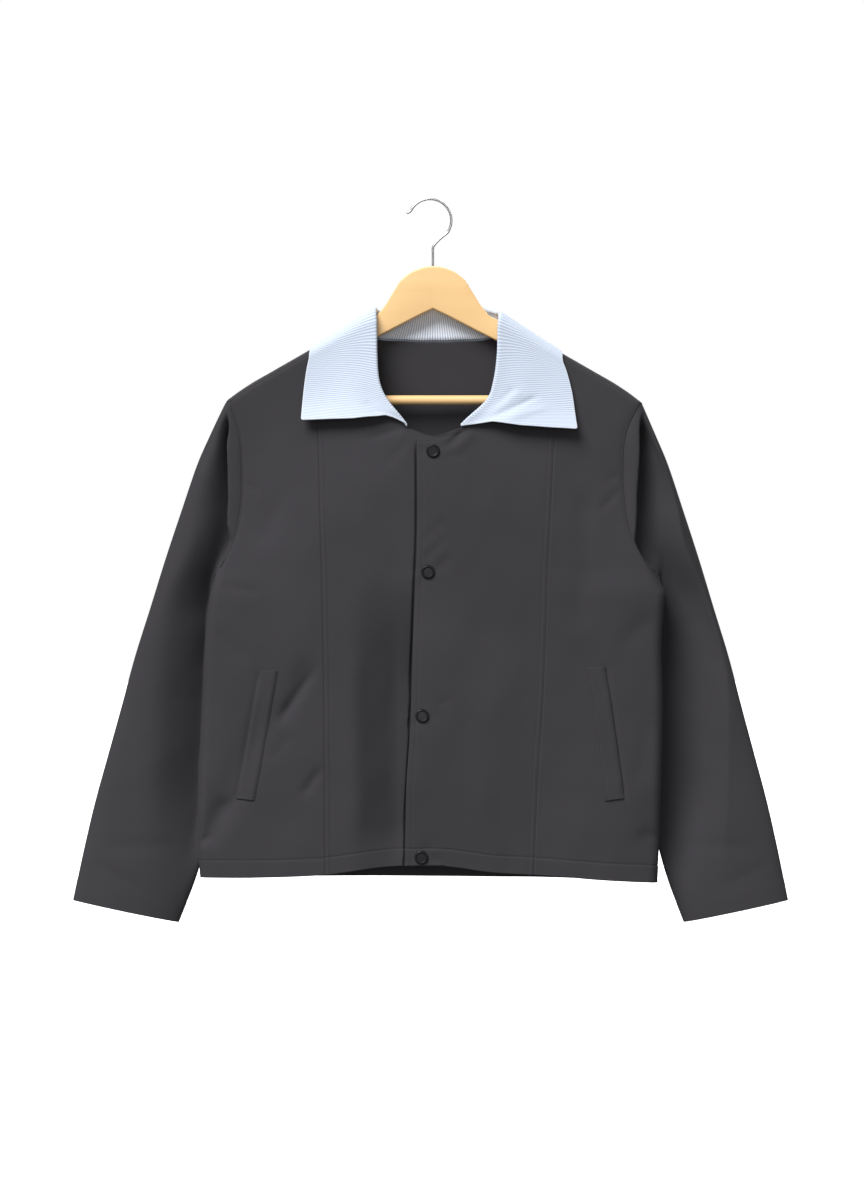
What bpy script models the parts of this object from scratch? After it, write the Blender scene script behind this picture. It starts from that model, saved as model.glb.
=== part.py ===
"""A four-button jacket with an open striped collar, hanging on a flat wooden hanger.

Sizes are in millimetres and become metres when a mesh is made. The front faces -Y, +X is the
wearer's left, +Z is up, and the origin is the inside of the hook's crown, where the hanger hangs.

The cloth is drawn on one chart. A chart point is (a, w): a runs across the body and w runs down
from the shoulder ridge, positive down the front and negative down the back. The function cloth
lays a chart point on the jacket, at a height above the cloth's outer face.
"""

import bmesh
import bpy
import numpy as np

MM = 0.001
SEAM = 0.3

# Cloth
WALL = 1.4
RIDGE_RADIUS = 10.0
SHOULDER_SEAM = 10.0
CHEST_FULLNESS = 26.0
CHEST_DROP = 220.0
HEM_FULLNESS = 8.0
HEM_DROP = 600.0
BACK_FULLNESS = 10.0
BACK_DROP = 200.0
SIDE_FORWARD = 12.0
SIDE_FORWARD_X = (90, 250)
SIDE_FORWARD_BELOW = (300, 450)
UNDERLAP_X = 14.0
UNDERLAP_SINK = 2.1
UNDERLAP_SINKS_AT = (-80, -38)
FINE_STEPS = 241

# Shoulder ridge: distance from the middle, height
SHOULDER = [
    (0, -109), (30, -111), (59.4, -123), (155, -175.5), (178, -188.7),
    (201, -202), (220, -215), (232, -224.5),
]

# Side outline: height, right side of the wearer, left side of the wearer
SIDE = [
    (-405, 237, 241), (-418, 240.5, 247), (-432, 244, 251), (-450, 246.5, 251.5), (-483, 249.7, 250.5),
    (-553, 252.5, 252), (-589, 254, 251.5), (-650, 257, 250), (-708, 257.6, 248), (-745, 255, 246),
]

# Armhole: height, distance from the middle on the right side, on the left side
ARMHOLE = [
    (-256, 212.5, 211.5), (-298, 209, 208), (-334, 210, 210), (-362, 214.6, 215),
    (-380, 221, 222.5), (-397, 229.5, 232),
]
SHOULDER_POINT = (227, 230)
ARMPIT_Z = (-412, -410)
ARMHOLE_RIDGE_STEPS = (0, 5, SHOULDER_SEAM, 20)
ARMHOLE_STEPS = 10
ARMHOLE_CLOSER = 1.4
SIDE_STEPS = 10

# Princess seam: height, distance from the middle on the right side, on the left side
PRINCESS = [
    (-165, 135, 140), (-262, 126, 133), (-332, 124, 129.5), (-395, 122, 126), (-483, 120, 123),
    (-556, 119, 120), (-629, 118.5, 115), (-750, 118, 110),
]

# Edge of the upper front: height, distance across
FRONT_EDGE = [
    (-261, -17.5), (-377, -19), (-423, -21), (-483, -23.5), (-589, -26), (-641, -29), (-750, -31),
]

# Hem: distance across, height in front, height at the back
HEM = [
    (-262, -743.5, -743.5), (-190, -743, -743.5), (-120, -740, -744), (-50, -731, -744), (15, -730, -744.5),
    (62, -736.5, -745), (128, -741, -745.5), (186, -746, -747), (252, -749.5, -749.5),
]

# Neckline below the collar's ends: the upper front's points and the under front's points
NECK_LOW_UPPER = [(15, -256.5), (4, -260), (-17.5, -261)]
NECK_LOW_UNDER = [(-15, -255.5), (-2, -260), (UNDERLAP_X, -263)]

# Large soft folds: start and end across and down, half width, height (below 0 is a trough), side.
# They start below the shoulder, between the two drops
FOLDS_FROM_DROP = (20, 80)
FOLDS = [
    (-54, -425, -56, -740, 20, -3.5, 1),
    (-133, -500, -163, -571, 10, -2.5, 1),
    (-223, -655, -250, -705, 12, -2.5, 1),
    (226, -690, 250, -716, 11, -2.5, 1),
    (75, -480, 62, -735, 26, 2.5, 1),
    (-95, -300, -88, -735, 28, 3.0, -1),
    (88, -330, 100, -735, 26, 3.0, -1),
    (5, -420, -4, -740, 24, -2.5, -1),
]

# Collar, from the front tip to the back's middle. Columns: chart side (1 front, 0 ridge, -1 back),
# neck seam x on the right and left sides and z, roll line x, x, z and height above the cloth,
# outer edge x, z on the right side and x, z on the left side
COLLAR = [
    (1, 31, 32.5, -249.5, 30.5, 32, -247.5, 1.8, 145, -241.5, 159, -249),
    (1, 52, 61, -224, 49.5, 58.5, -221, 2.2, 144, -226, 157, -233),
    (1, 66, 73, -204, 60, 68, -200, 2.8, 142, -207, 153.5, -212),
    (1, 73, 80, -175, 63, 72, -172, 3.2, 138.5, -186, 147, -190),
    (1, 79, 85, -152, 63.5, 73, -147, 3.4, 135, -170, 142, -176),
    (0, 82.5, 87, 0, 63.5, 72.5, 0, 3.4, 131, 0, 138, 0),
    (-1, 70, 74, -145.5, 56, 61, -128, 5.5, 112, -181, 116, -183),
    (-1, 45, 46, -151.5, 32, 34, -122, 6.5, 66, -190, 68, -191),
    (-1, 0, 0, -154, 0, 0, -120.5, 7.0, 0, -193, 0, -193),
]
COLLAR_WALL = 1.6
COLLAR_ROLL = 1.8
COLLAR_REST = 1.8
COLLAR_STEPS = (2, 2, 2, 2, 4, 6, 3, 2)
COLLAR_STAND_STEPS = 3
COLLAR_ROLL_STEPS = 5
COLLAR_FALL_STEPS = 7
COLLAR_END_BOW = 8.5
COLLAR_END_BOW_STATIONS = 0.8
NECK_CLEARANCE = 1.9

# Sleeve, from the armhole to the cuff. Columns: outer edge x, z, y; under edge x, z, y; half depth
SLEEVE = [
    (229, -223, 0, 239, -412, -10, 14),
    (238, -242, 1, 244, -420, -9.5, 15),
    (248, -264, 2, 246.5, -434, -8.5, 16),
    (260, -292, 4, 248.6, -452, -6.5, 17),
    (277, -341, 7, 250.5, -478, -3, 18),
    (295, -394, 10, 250, -508, 2, 18),
    (312, -448, 12, 246, -543, 8, 17.5),
    (329, -502, 13, 241, -582, 13, 16.5),
    (343.5, -556, 14, 238.5, -622, 16.5, 16),
    (358.3, -610, 14, 241, -662, 18, 15.5),
    (372.8, -663, 14, 249, -703, 17, 15),
    (385.5, -717, 14, 262, -748, 16, 14.5),
    (397, -770.6, 14, 280.5, -795, 15, 14),
]
SLEEVE_LEFT_SCALE = 0.9865
SLEEVE_LEAD = 3
SLEEVE_LEAD_ROWS = (0, 0.25, 0.55, 0.9, 1.3, 1.8, 2.4)
SLEEVE_STEPS = 12
SLEEVE_FOLD_ANGLES = (0.9, 0.1)
SLEEVE_PIT_CLEARANCE = 2.0

# Pocket welts: corners (inner top, outer top, outer bottom, inner bottom) as across, down
WELT_RIGHT = [(-169, -516), (-190, -517), (-215, -657), (-194.5, -659)]
WELT_LEFT = [(168, -513.6), (188, -511.7), (209, -656.7), (187, -659.5)]
WELT_THICKNESS = 1.5

# Snaps: place across and down, and turned cap as radius, height
SNAPS = [(0, -276.7), (-5.5, -408.7), (-12, -566), (-13, -720)]
SNAP_PROFILE = [(0, 1.9), (5.0, 1.9), (5.7, 2.5), (6.9, 2.5), (7.5, 1.8), (7.5, 0), (0, 0)]
SNAP_STEPS = 24
SNAP_GAP = 0.45

# Hanger
HANGER_HALF_THICKNESS = 6.0
HANGER_CLEARANCE = 1.6
HANGER_END_X = 203.0
HANGER_END_CORNER = 4.0
HANGER_DOME = [(0, -72.6), (14, -74.2), (25, -79.5), (33.7, -87.5), (44, -103), (50, -117)]
HANGER_CROTCH = [(25, -128.7), (6, -118.4), (0, -117.2)]
HANGER_ARM_FROM_X = 62.0
HANGER_ARM_TO_X = 170.0
HANGER_ARM_DEPTH = 23.5
HANGER_BAR_X = 184.0
HANGER_BAR_Z = -219.6
HANGER_BAR_RADIUS = 5.2
HANGER_BAR_HEADROOM = 1.5
HANGER_END_Z = -229.0
HANGER_EDGE_ROUND = 3.0

# Hook: wire round a circle, with a straight leg down to the stem and a tip that flares out
WIRE_RADIUS = 1.4
HOOK_RADIUS = 23.5
HOOK_OFFSET_X = -3.3
HOOK_FROM_DEGREES = -36
HOOK_TO_DEGREES = 142
HOOK_TIP = [(-25.0, -12.0), (-29.0, -14.0)]
HOOK_LEG = [(8, -42), (2, -48.2), (0, -52.4)]

COLOURS = {
    "charcoal_cloth": ((0.052, 0.049, 0.054), 0.85, 0.0),
    "striped_cloth": ((0.74, 0.83, 0.95), 0.85, 0.0),
    "black_snap": ((0.012, 0.012, 0.014), 0.35, 0.0),
    "pale_wood": ((0.93, 0.62, 0.28), 0.5, 0.0),
    "bright_wire": ((0.8, 0.8, 0.82), 0.2, 1.0),
}


def curve(rows, column, x):
    """Smooth curve through a table's first column and another: cubic pieces with central slopes."""
    table = np.array(rows, float)
    table = table[np.argsort(table[:, 0])]
    xs = table[:, 0]
    ys = table[:, column]
    slopes = np.gradient(ys, xs)
    x = np.clip(x, xs[0], xs[-1])
    i = np.clip(np.searchsorted(xs, x) - 1, 0, len(xs) - 2)
    h = xs[i + 1] - xs[i]
    t = (x - xs[i]) / h
    near = ys[i] * (1 + 2 * t) * (1 - t) ** 2 + ys[i + 1] * t * t * (3 - 2 * t)
    return near + h * (slopes[i] * t * (1 - t) ** 2 - slopes[i + 1] * t * t * (1 - t))


def step(x, low, high):
    """Smooth step from 0 at low to 1 at high."""
    t = np.clip((x - low) / (high - low), 0, 1)
    return t * t * (3 - 2 * t)


def by_side(rows, key, across):
    """A two-sided table read at key: the second column where across < 0, the third elsewhere."""
    return np.where(across < 0, curve(rows, 1, key), curve(rows, 2, key))


def shoulder(x):
    """Height of the shoulder ridge."""
    return curve(SHOULDER, 1, np.abs(x))


def drop_to_w(drop):
    """Chart distance from the ridge for a drop below it."""
    drop = np.maximum(drop, 0)
    on_ridge = RIDGE_RADIUS * np.arccos(np.clip(1 - drop / RIDGE_RADIUS, -1, 1))
    below = drop + RIDGE_RADIUS * (np.pi / 2 - 1)
    return np.where(drop < RIDGE_RADIUS, on_ridge, below)


def chart(x, z, side=1):
    """Chart point of a place across and down, on the front (side 1) or the back (side -1)."""
    x, z = np.broadcast_arrays(np.asarray(x, float), np.asarray(z, float))
    return np.stack([x, side * drop_to_w(shoulder(x) - z)], axis=-1)


def folds(x, z, side):
    """Height of the large soft folds: each is a round ridge or trough along a line, faded at its ends."""
    height = np.zeros_like(x)
    for x0, z0, x1, z1, width, rise, on_side in FOLDS:
        length = np.hypot(x1 - x0, z1 - z0)
        along = ((x - x0) * (x1 - x0) + (z - z0) * (z1 - z0)) / length
        off = ((x - x0) * (z1 - z0) - (z - z0) * (x1 - x0)) / length
        fade = step(along, -0.1 * length, 0.35 * length) * (1 - step(along, 0.8 * length, 1.15 * length))
        height += np.where(side == on_side, rise * fade * np.exp(-(off / width) ** 2), 0)
    return height


def side_forward(x, z):
    """How far the jacket's sides swing forward below the armholes."""
    return SIDE_FORWARD * step(np.abs(x), *SIDE_FORWARD_X) * step(-z, *SIDE_FORWARD_BELOW)


def surface(a, w):
    """Outer face of the cloth at chart points: a ridge over the hanger, full fronts, round sides."""
    side = np.where(w >= 0, 1, -1)
    turn = np.clip(np.abs(w) / RIDGE_RADIUS, 0, np.pi / 2)
    drop = RIDGE_RADIUS * (1 - np.cos(turn)) + np.maximum(np.abs(w) - RIDGE_RADIUS * np.pi / 2, 0)
    half = by_side(SIDE, shoulder(a) - drop, a)
    over = np.maximum(np.abs(a) - (half - RIDGE_RADIUS), 0) / RIDGE_RADIUS
    flat = np.minimum(np.abs(a), half - RIDGE_RADIUS)
    x = np.sign(a) * (flat + RIDGE_RADIUS * np.sin(over))
    z = shoulder(x) - drop
    middle = np.clip(1 - (x / half) ** 2, 0, 1)
    front = CHEST_FULLNESS * step(drop, 0, CHEST_DROP) + HEM_FULLNESS * step(drop, CHEST_DROP, HEM_DROP)
    back = BACK_FULLNESS * step(drop, 0, BACK_DROP)
    relief = folds(x, z, side) * step(drop, *FOLDS_FROM_DROP) * np.cos(np.minimum(over, np.pi / 2))
    depth = RIDGE_RADIUS * np.sin(turn) * np.cos(over) + np.where(side > 0, front, back) * middle + relief
    return np.stack([x, -side_forward(x, z) - side * depth, z], axis=-1)


def cloth(points, lift=0.0):
    """Chart points laid on the cloth, lift above its outer face."""
    a = points[..., 0]
    w = points[..., 1]
    small = 0.4
    across = surface(a + small, w) - surface(a - small, w)
    down = surface(a, w + small) - surface(a, w - small)
    normal = np.cross(down, across)
    normal /= np.linalg.norm(normal, axis=-1, keepdims=True)
    return surface(a, w) + normal * np.asarray(lift)[..., None]


def fill(left, right, top, bottom, u, v):
    """Coons patch: chart points between four edges, u across from left to right and v down."""
    u = u[None, :, None]
    v = v[:, None, None]
    sides = (1 - u) * left[:, None] + u * right[:, None]
    ends = (1 - v) * top[None] + v * bottom[None]
    corners = (1 - v) * ((1 - u) * top[0] + u * top[-1]) + v * ((1 - u) * bottom[0] + u * bottom[-1])
    return sides + ends - corners


def fractions(points):
    """Fraction of a polyline's length at each of its points."""
    lengths = np.linalg.norm(np.diff(points, axis=0), axis=1)
    return np.concatenate([[0], np.cumsum(lengths)]) / np.sum(lengths)


def resample(points, t):
    """Points at the fractions t of a polyline's length."""
    points = np.asarray(points, float)
    along = fractions(points)
    return np.stack([np.interp(t, along, points[:, k]) for k in range(points.shape[1])], axis=-1)


def edge_normal(points):
    """Unit vectors square to a chart curve, to the right of its direction."""
    direction = np.gradient(points, axis=0)
    direction /= np.linalg.norm(direction, axis=1, keepdims=True)
    return np.stack([direction[:, 1], -direction[:, 0]], axis=-1)


def collar_rows():
    """Collar stations from the right tip round the back to the left tip, as chart points:
    neck seam, roll line, roll height and outer edge."""
    neck, roll, lift, edge = [], [], [], []
    stations = [(row, -1) for row in COLLAR] + [(row, 1) for row in COLLAR[-2::-1]]
    for row, hand in stations:
        side, neck_r, neck_l, neck_z, roll_r, roll_l, roll_z, rise, edge_r, edge_rz, edge_l, edge_lz = row
        neck_x = hand * (neck_r if hand < 0 else neck_l)
        roll_x = hand * (roll_r if hand < 0 else roll_l)
        edge_x, edge_z = (-edge_r, edge_rz) if hand < 0 else (edge_l, edge_lz)
        if side == 0:
            neck_z = shoulder(neck_x)
            roll_z = shoulder(roll_x)
            edge_z = shoulder(edge_x)
        neck.append(chart(neck_x, neck_z, side))
        roll.append(chart(roll_x, roll_z, side))
        edge.append(chart(edge_x, edge_z, side))
        lift.append(rise)
    return np.array(neck), np.array(roll), np.array(lift), np.array(edge)


def along_stations(values, u):
    """Smooth curve through one value per station, read at station numbers u."""
    values = np.asarray(values, float).reshape(len(values), -1)
    table = np.column_stack([np.arange(len(values)), values])
    return np.stack([curve(table, k + 1, u) for k in range(values.shape[1])], axis=-1)


def neckline():
    """Edge of the panels round the neck as a fine chart curve, a little outside the collar's seam."""
    neck = collar_rows()[0]
    u = np.linspace(0, len(neck) - 1, FINE_STEPS)
    seam = along_stations(neck, u)
    return seam + NECK_CLEARANCE * edge_normal(seam)


def armhole(hand):
    """Armhole edge on the front from the shoulder point to the armpit, as chart points. The steps are
    short over the shoulder ridge, and the forward shoulder seam ends on one of them."""
    column = 1 if hand < 0 else 2
    top = SHOULDER_POINT[column - 1]
    pit_z = ARMPIT_Z[column - 1]
    points = [chart(hand * top, shoulder(top))]
    points += [chart(hand * row[column], row[0]) for row in ARMHOLE]
    points += [side_seam(hand, pit_z)]
    fine = along_stations(points, np.linspace(0, len(points) - 1, FINE_STEPS))
    over_ridge = np.interp(ARMHOLE_RIDGE_STEPS, fine[:, 1], fractions(fine))
    below = 1 - (1 - over_ridge[-1]) * np.linspace(1, 0, ARMHOLE_STEPS + 1)[1:] ** ARMHOLE_CLOSER
    return resample(fine, np.concatenate([over_ridge, below]))


def side_seam(hand, z):
    """Chart point of the side seam at a height: the outermost point of the round side."""
    half = by_side(SIDE, z, hand)
    a = hand * (half + RIDGE_RADIUS * (np.pi / 2 - 1))
    return np.stack([a, chart(hand * half, z)[..., 1]], axis=-1)


def hem_z(x, column):
    """Height of the hem in front (column 1) or at the back (column 2)."""
    return curve(HEM, column, x)


def outer_edge(hand, side):
    """Armhole and side seam of a panel from its shoulder seam to its hem, as chart points."""
    edge = armhole(hand)
    seam = ARMHOLE_RIDGE_STEPS.index(SHOULDER_SEAM)
    upper = edge[seam:] if side > 0 else np.concatenate([edge[seam:0:-1], edge * [1, -1]])
    upper[0, 1] += side * SEAM / 2
    pit_z = ARMPIT_Z[0 if hand < 0 else 1]
    half = by_side(SIDE, SIDE[-1][0], hand)
    low_z = hem_z(hand * half, 1)
    lower = side_seam(hand, np.linspace(pit_z, low_z, SIDE_STEPS + 1)[1:]) * [1, side]
    return np.concatenate([upper, lower]) - [hand * SEAM / 2, 0]


def princess_edge(hand, v):
    """Princess seam from the shoulder seam to the hem, as chart points on the front."""
    column = 1 if hand < 0 else 2
    z_fine = np.linspace(PRINCESS[0][0], PRINCESS[-1][0], FINE_STEPS)
    fine = chart(hand * curve(PRINCESS, column, z_fine), z_fine)
    x_low = fine[-1, 0]
    last = chart(x_low, hem_z(x_low, 1))[1]
    fine = fine[(fine[:, 1] > SHOULDER_SEAM) & (fine[:, 1] < last)]
    first = [np.interp(SHOULDER_SEAM, fine[:, 1], fine[:, 0]), SHOULDER_SEAM + SEAM / 2]
    fine = np.concatenate([[first], fine, [[x_low, last]]])
    return resample(fine, v)


def hem_edge(start, end, side, u):
    """Hem between two chart points, as chart points on the front (side 1) or back (side -1)."""
    a = start[0] + (end[0] - start[0]) * u
    half = by_side(SIDE, SIDE[-1][0], a)
    x = np.clip(a, -half, half)
    w = chart(x, hem_z(x, 1 if side > 0 else 2), side)[..., 1]
    return np.stack([a, w], axis=-1)


def make_mesh(name, points, faces):
    """A mesh object of points in millimetres, with its faces turned outward."""
    mesh = bpy.data.meshes.new(name)
    mesh.from_pydata((points * MM).tolist(), [], faces.tolist())
    work = bmesh.new()
    work.from_mesh(mesh)
    bmesh.ops.recalc_face_normals(work, faces=work.faces)
    work.to_mesh(mesh)
    work.free()
    mesh.shade_smooth()
    mesh.set_sharp_from_angle(angle=np.radians(40))
    return bpy.data.objects.new(name, mesh)


def shell(name, outer, inner, closed=False, cells=None):
    """A cloth wall: two grids of points as its faces, joined round their rim. With closed, the last
    column meets the first, and the wall is a tube. Cells says which of the grid's cells are cloth."""
    rows, columns = outer.shape[:2]
    index = np.arange(rows * columns).reshape(rows, columns)
    if closed:
        index = np.concatenate([index, index[:, :1]], axis=1)
    quads = np.stack([index[:-1, :-1], index[1:, :-1], index[1:, 1:], index[:-1, 1:]], axis=-1)
    quads = quads.reshape(-1, 4) if cells is None else quads[cells]
    edges = np.stack([quads, np.roll(quads, -1, axis=1)], axis=-1).reshape(-1, 2)
    code = edges.min(axis=1) * rows * columns + edges.max(axis=1)
    first, count = np.unique(code, return_index=True, return_counts=True)[1:]
    rim = edges[first[count == 1]]
    inside = rows * columns
    walls = np.concatenate([rim[:, ::-1], rim + inside], axis=1)
    faces = np.concatenate([quads, quads[:, ::-1] + inside, walls])
    points = np.concatenate([outer.reshape(-1, 3), inner.reshape(-1, 3)])
    used = np.unique(faces)
    return make_mesh(name, points[used], np.searchsorted(used, faces))


def edge_steps(flat_steps, round_share, round_steps):
    """Fractions across a panel, with short steps over its round outer share."""
    flat = np.linspace(0, 1 - round_share, flat_steps + 1)
    turned = np.linspace(1 - round_share, 1, round_steps + 1)[1:]
    return np.concatenate([flat, turned])


def front_centre(name, hand):
    """Centre front: neckline and front edge on the inside, princess seam on the outside."""
    corner = 0.26
    neck_steps = 14
    front_edge_steps = 13
    v_neck = np.linspace(0, corner, neck_steps + 1)
    v = np.concatenate([v_neck, np.linspace(corner, 1, front_edge_steps + 1)[1:]])
    u = np.linspace(0, 1, 9)
    edge = neckline()[::hand]
    front = edge[(edge[:, 0] * hand > 0) & (edge[:, 1] > SHOULDER_SEAM)]
    front = front[np.argsort(front[:, 1])]
    first = [front[0, 0], SHOULDER_SEAM + SEAM / 2]
    low = NECK_LOW_UPPER if hand > 0 else NECK_LOW_UNDER
    neck = np.concatenate([[first], front, [chart(*point) for point in low]])
    corner_z = low[-1][1]
    z_low = hem_z(FRONT_EDGE[-1][1] if hand > 0 else UNDERLAP_X, 1)
    z_edge = np.linspace(corner_z, z_low, FINE_STEPS)
    x_edge = curve(FRONT_EDGE, 1, z_edge) if hand > 0 else np.full_like(z_edge, UNDERLAP_X)
    below = chart(x_edge, z_edge)
    inner = np.concatenate([
        resample(neck, v[v <= corner] / corner),
        resample(below, (v[v > corner] - corner) / (1 - corner)),
    ])
    seam = princess_edge(hand, v) - [hand * SEAM / 2, 0]
    top = inner[0] + (seam[0] - inner[0]) * u[:, None]
    bottom = hem_edge(inner[-1], seam[-1], 1, u)
    points = fill(inner, seam, top, bottom, u, v)
    sink = (UNDERLAP_SINK if hand < 0 else 0) * step(points[..., 0], *UNDERLAP_SINKS_AT)
    return shell(name, cloth(points, -sink), cloth(points, -sink - WALL))


def front_side(name, hand):
    """Side front: princess seam on the inside, armhole and side seam on the outside."""
    u = edge_steps(6, 0.1, 4)
    outer = outer_edge(hand, 1)
    v = fractions(outer)
    seam = princess_edge(hand, v) + [hand * SEAM / 2, 0]
    top = seam[0] + (outer[0] - seam[0]) * u[:, None]
    bottom = hem_edge(seam[-1], outer[-1], 1, u)
    points = fill(seam, outer, top, bottom, u, v)
    return shell(name, cloth(points), cloth(points, -WALL))


def back(name):
    """Back: over the shoulders to the forward shoulder seams, round the neck, down to the hem. Above
    the neck's corners the grid holds only the two shoulders."""
    outer = {hand: outer_edge(hand, -1) for hand in (-1, 1)}
    low = 2 * ARMHOLE_RIDGE_STEPS.index(SHOULDER_SEAM) + 1
    corner_w = outer[-1][low, 1]
    neck = neckline()
    neck_low = neck[neck[:, 1] < corner_w]
    across = edge_steps(7, 0.1, 3)
    blocks, tops = {}, {}
    for hand in (-1, 1):
        half = neck[::hand][len(neck) // 2:]
        over = half[np.argsort(-half[:, 1])]
        w = outer[hand][:low + 1, 1]
        inner = np.stack([np.interp(-w, -over[:, 1], over[:, 0]), w], axis=-1)
        rim = outer[hand][:low + 1]
        ends = [a + (b - a) * across[:, None] for a, b in ((inner[0], rim[0]), (inner[-1], rim[-1]))]
        blocks[hand] = fill(inner, rim, *ends, across, fractions(rim))
        tops[hand] = ends[1]
    neck_steps = np.linspace(0, 1, 13)
    middle = np.concatenate([tops[-1][:1], neck_low, tops[1][:1]])
    top = np.concatenate([tops[-1][:0:-1], resample(middle, neck_steps), tops[1][1:]])
    sides = {hand: outer[hand][low:] for hand in (-1, 1)}
    u = (top[:, 0] - top[0, 0]) / (top[-1, 0] - top[0, 0])
    bottom = hem_edge(sides[-1][-1], sides[1][-1], -1, u)
    lower = fill(sides[-1], sides[1], top, bottom, u, fractions(sides[-1]))
    gap = np.zeros((low, len(neck_steps) - 2, 2))
    upper = np.concatenate([blocks[-1][:low, ::-1], gap, blocks[1][:low]], axis=1)
    points = np.concatenate([upper, lower])
    cells = np.ones((len(points) - 1, len(u) - 1), bool)
    cells[:low, len(across) - 1:-(len(across) - 1)] = False
    return shell(name, cloth(points), cloth(points, -WALL), cells=cells)


def off_body(points, hand, clearance):
    """Points moved out, square to the body's round side, until they clear it by the given distance."""
    x, y, z = [points[..., k] for k in range(3)]
    across = hand * x - (by_side(SIDE, z, hand) - RIDGE_RADIUS)
    deep = y + side_forward(x, z)
    away = np.hypot(across, deep)
    push = np.where(clearance > 0, np.maximum(RIDGE_RADIUS + clearance - away, 0), 0) / away
    return points + np.stack([hand * across * push, deep * push, 0 * z], axis=-1)


def with_back(half):
    """An armhole's front half as chart points, closed to a loop with the same half on the back."""
    return np.concatenate([half, half[-2:0:-1] * [1, -1]])


def sleeve(name, hand):
    """Set-in sleeve: a tube from the armhole to the cuff. Its rings are flat ovals between the outer
    edge and the under edge. The first ones lead over from the armhole's own line, and at the armpit
    the cloth folds back there and hangs clear of the body's side."""
    edge = armhole(hand)
    inward = hand * edge_normal(edge)
    inward[-1] = (0, -1)
    hole = with_back(edge + SEAM * inward)
    body = with_back(edge - inward)
    turn = np.arccos(1 - 2 * edge[:, 1] / edge[-1, 1])
    angle = np.concatenate([turn, 2 * np.pi - turn[-2:0:-1]])
    rows = np.concatenate([SLEEVE_LEAD_ROWS, np.linspace(SLEEVE_LEAD, len(SLEEVE) - 1, SLEEVE_STEPS + 1)])
    outer_x, outer_z, outer_y, under_x, under_z, under_y, half_depth = along_stations(SLEEVE, rows).T
    scale = np.linspace(1, SLEEVE_LEFT_SCALE if hand > 0 else 1, len(rows))
    wider = by_side(SIDE, under_z, hand) - by_side(SIDE, under_z, -1)
    under_x = under_x * scale + wider * (1 - step(rows, 4, 8))
    outer = np.stack([hand * outer_x * scale, outer_y, outer_z], axis=-1)[:, None]
    under = np.stack([hand * under_x, under_y, under_z], axis=-1)[:, None]
    deep = np.zeros((len(rows), len(angle), 3))
    deep[..., 1] = -half_depth[:, None] * np.sin(angle)
    oval = (outer + under) / 2 + np.cos(angle)[None, :, None] * (outer - under) / 2 + deep
    lead = 1 - (1 - np.clip(rows / SLEEVE_LEAD, 0, 1))[:, None, None] ** 2
    points = (1 - lead) * cloth(hole)[None] + lead * oval
    fold = step(np.abs(angle - np.pi), *SLEEVE_FOLD_ANGLES)
    clearance = SLEEVE_PIT_CLEARANCE * fold[None] * step(rows, 0, 0.6)[:, None]
    points = off_body(points, hand, clearance)

    round_next = np.roll(points, -1, axis=1) - np.roll(points, 1, axis=1)
    along = np.gradient(points, axis=0)
    normal = hand * np.cross(round_next, along)
    normal /= np.linalg.norm(normal, axis=-1, keepdims=True)
    to_body = cloth(body) - cloth(hole)
    at_hole = (1 - fold[:, None]) * (cloth(hole, 1.0) - cloth(hole)) + fold[:, None] * to_body
    blend = step(rows, 0, 1.5)[:, None, None]
    normal = (1 - blend) * at_hole[None] + blend * normal
    normal /= np.linalg.norm(normal, axis=-1, keepdims=True)
    return shell(name, points, points - WALL * normal, closed=True)


def collar(name):
    """Collar: one strip along the neck, up the stand, over the roll and down the fall."""
    neck, roll, lift, edge = collar_rows()
    count = len(neck) - 1
    steps = COLLAR_STEPS + COLLAR_STEPS[::-1]
    u = np.concatenate([k + np.arange(n) / n for k, n in enumerate(steps)] + [[count]])
    neck = along_stations(neck, u)
    roll = along_stations(roll, u)
    edge = along_stations(edge, u)
    lift = along_stations(lift, u)
    away = roll - neck
    away /= np.linalg.norm(away, axis=1, keepdims=True)
    from_end = np.minimum(u, count - u)[:, None]
    end_bow = COLLAR_END_BOW * np.exp(-from_end / COLLAR_END_BOW_STATIONS)
    places, heights = [], []
    for t in np.linspace(0, 1, COLLAR_STAND_STEPS + 1)[:-1]:
        places.append(neck + (roll - neck) * t)
        heights.append(-WALL / 2 + (lift + WALL / 2) * t)
    for turn in np.linspace(0, np.pi, COLLAR_ROLL_STEPS + 1)[:-1]:
        places.append(roll + COLLAR_ROLL * np.sin(turn) * away)
        heights.append(lift + COLLAR_ROLL * (1 - np.cos(turn)))
    for t in np.linspace(0, 1, COLLAR_FALL_STEPS + 1):
        bow = np.concatenate([np.zeros_like(end_bow), -end_bow * np.sin(np.pi * np.sqrt(t))], axis=1)
        places.append(roll + (edge - roll) * t + bow)
        high = lift + 2 * COLLAR_ROLL
        heights.append(COLLAR_REST + (high - COLLAR_REST) * (1 - t) ** 2)
    points = cloth(np.stack(places), np.stack(heights)[..., 0])
    along = np.gradient(points, axis=1)
    across = np.gradient(points, axis=0)
    normal = np.cross(across, along)
    normal /= np.linalg.norm(normal, axis=-1, keepdims=True)
    return shell(name, points + normal * COLLAR_WALL / 2, points - normal * COLLAR_WALL / 2)


def welt(name, corners):
    """Pocket welt: a strip made from the side front's own points, moved out."""
    inner_top, outer_top, outer_low, inner_low = [chart(*corner) for corner in corners]
    v = np.linspace(0, 1, 9)
    u = np.linspace(0, 1, 4)
    inner = inner_top + (inner_low - inner_top) * v[:, None]
    outer = outer_top + (outer_low - outer_top) * v[:, None]
    top = inner_top + (outer_top - inner_top) * u[:, None]
    bottom = inner_low + (outer_low - inner_low) * u[:, None]
    points = fill(inner, outer, top, bottom, u, v)
    return shell(name, cloth(points, SEAM + WELT_THICKNESS), cloth(points, SEAM))


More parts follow.
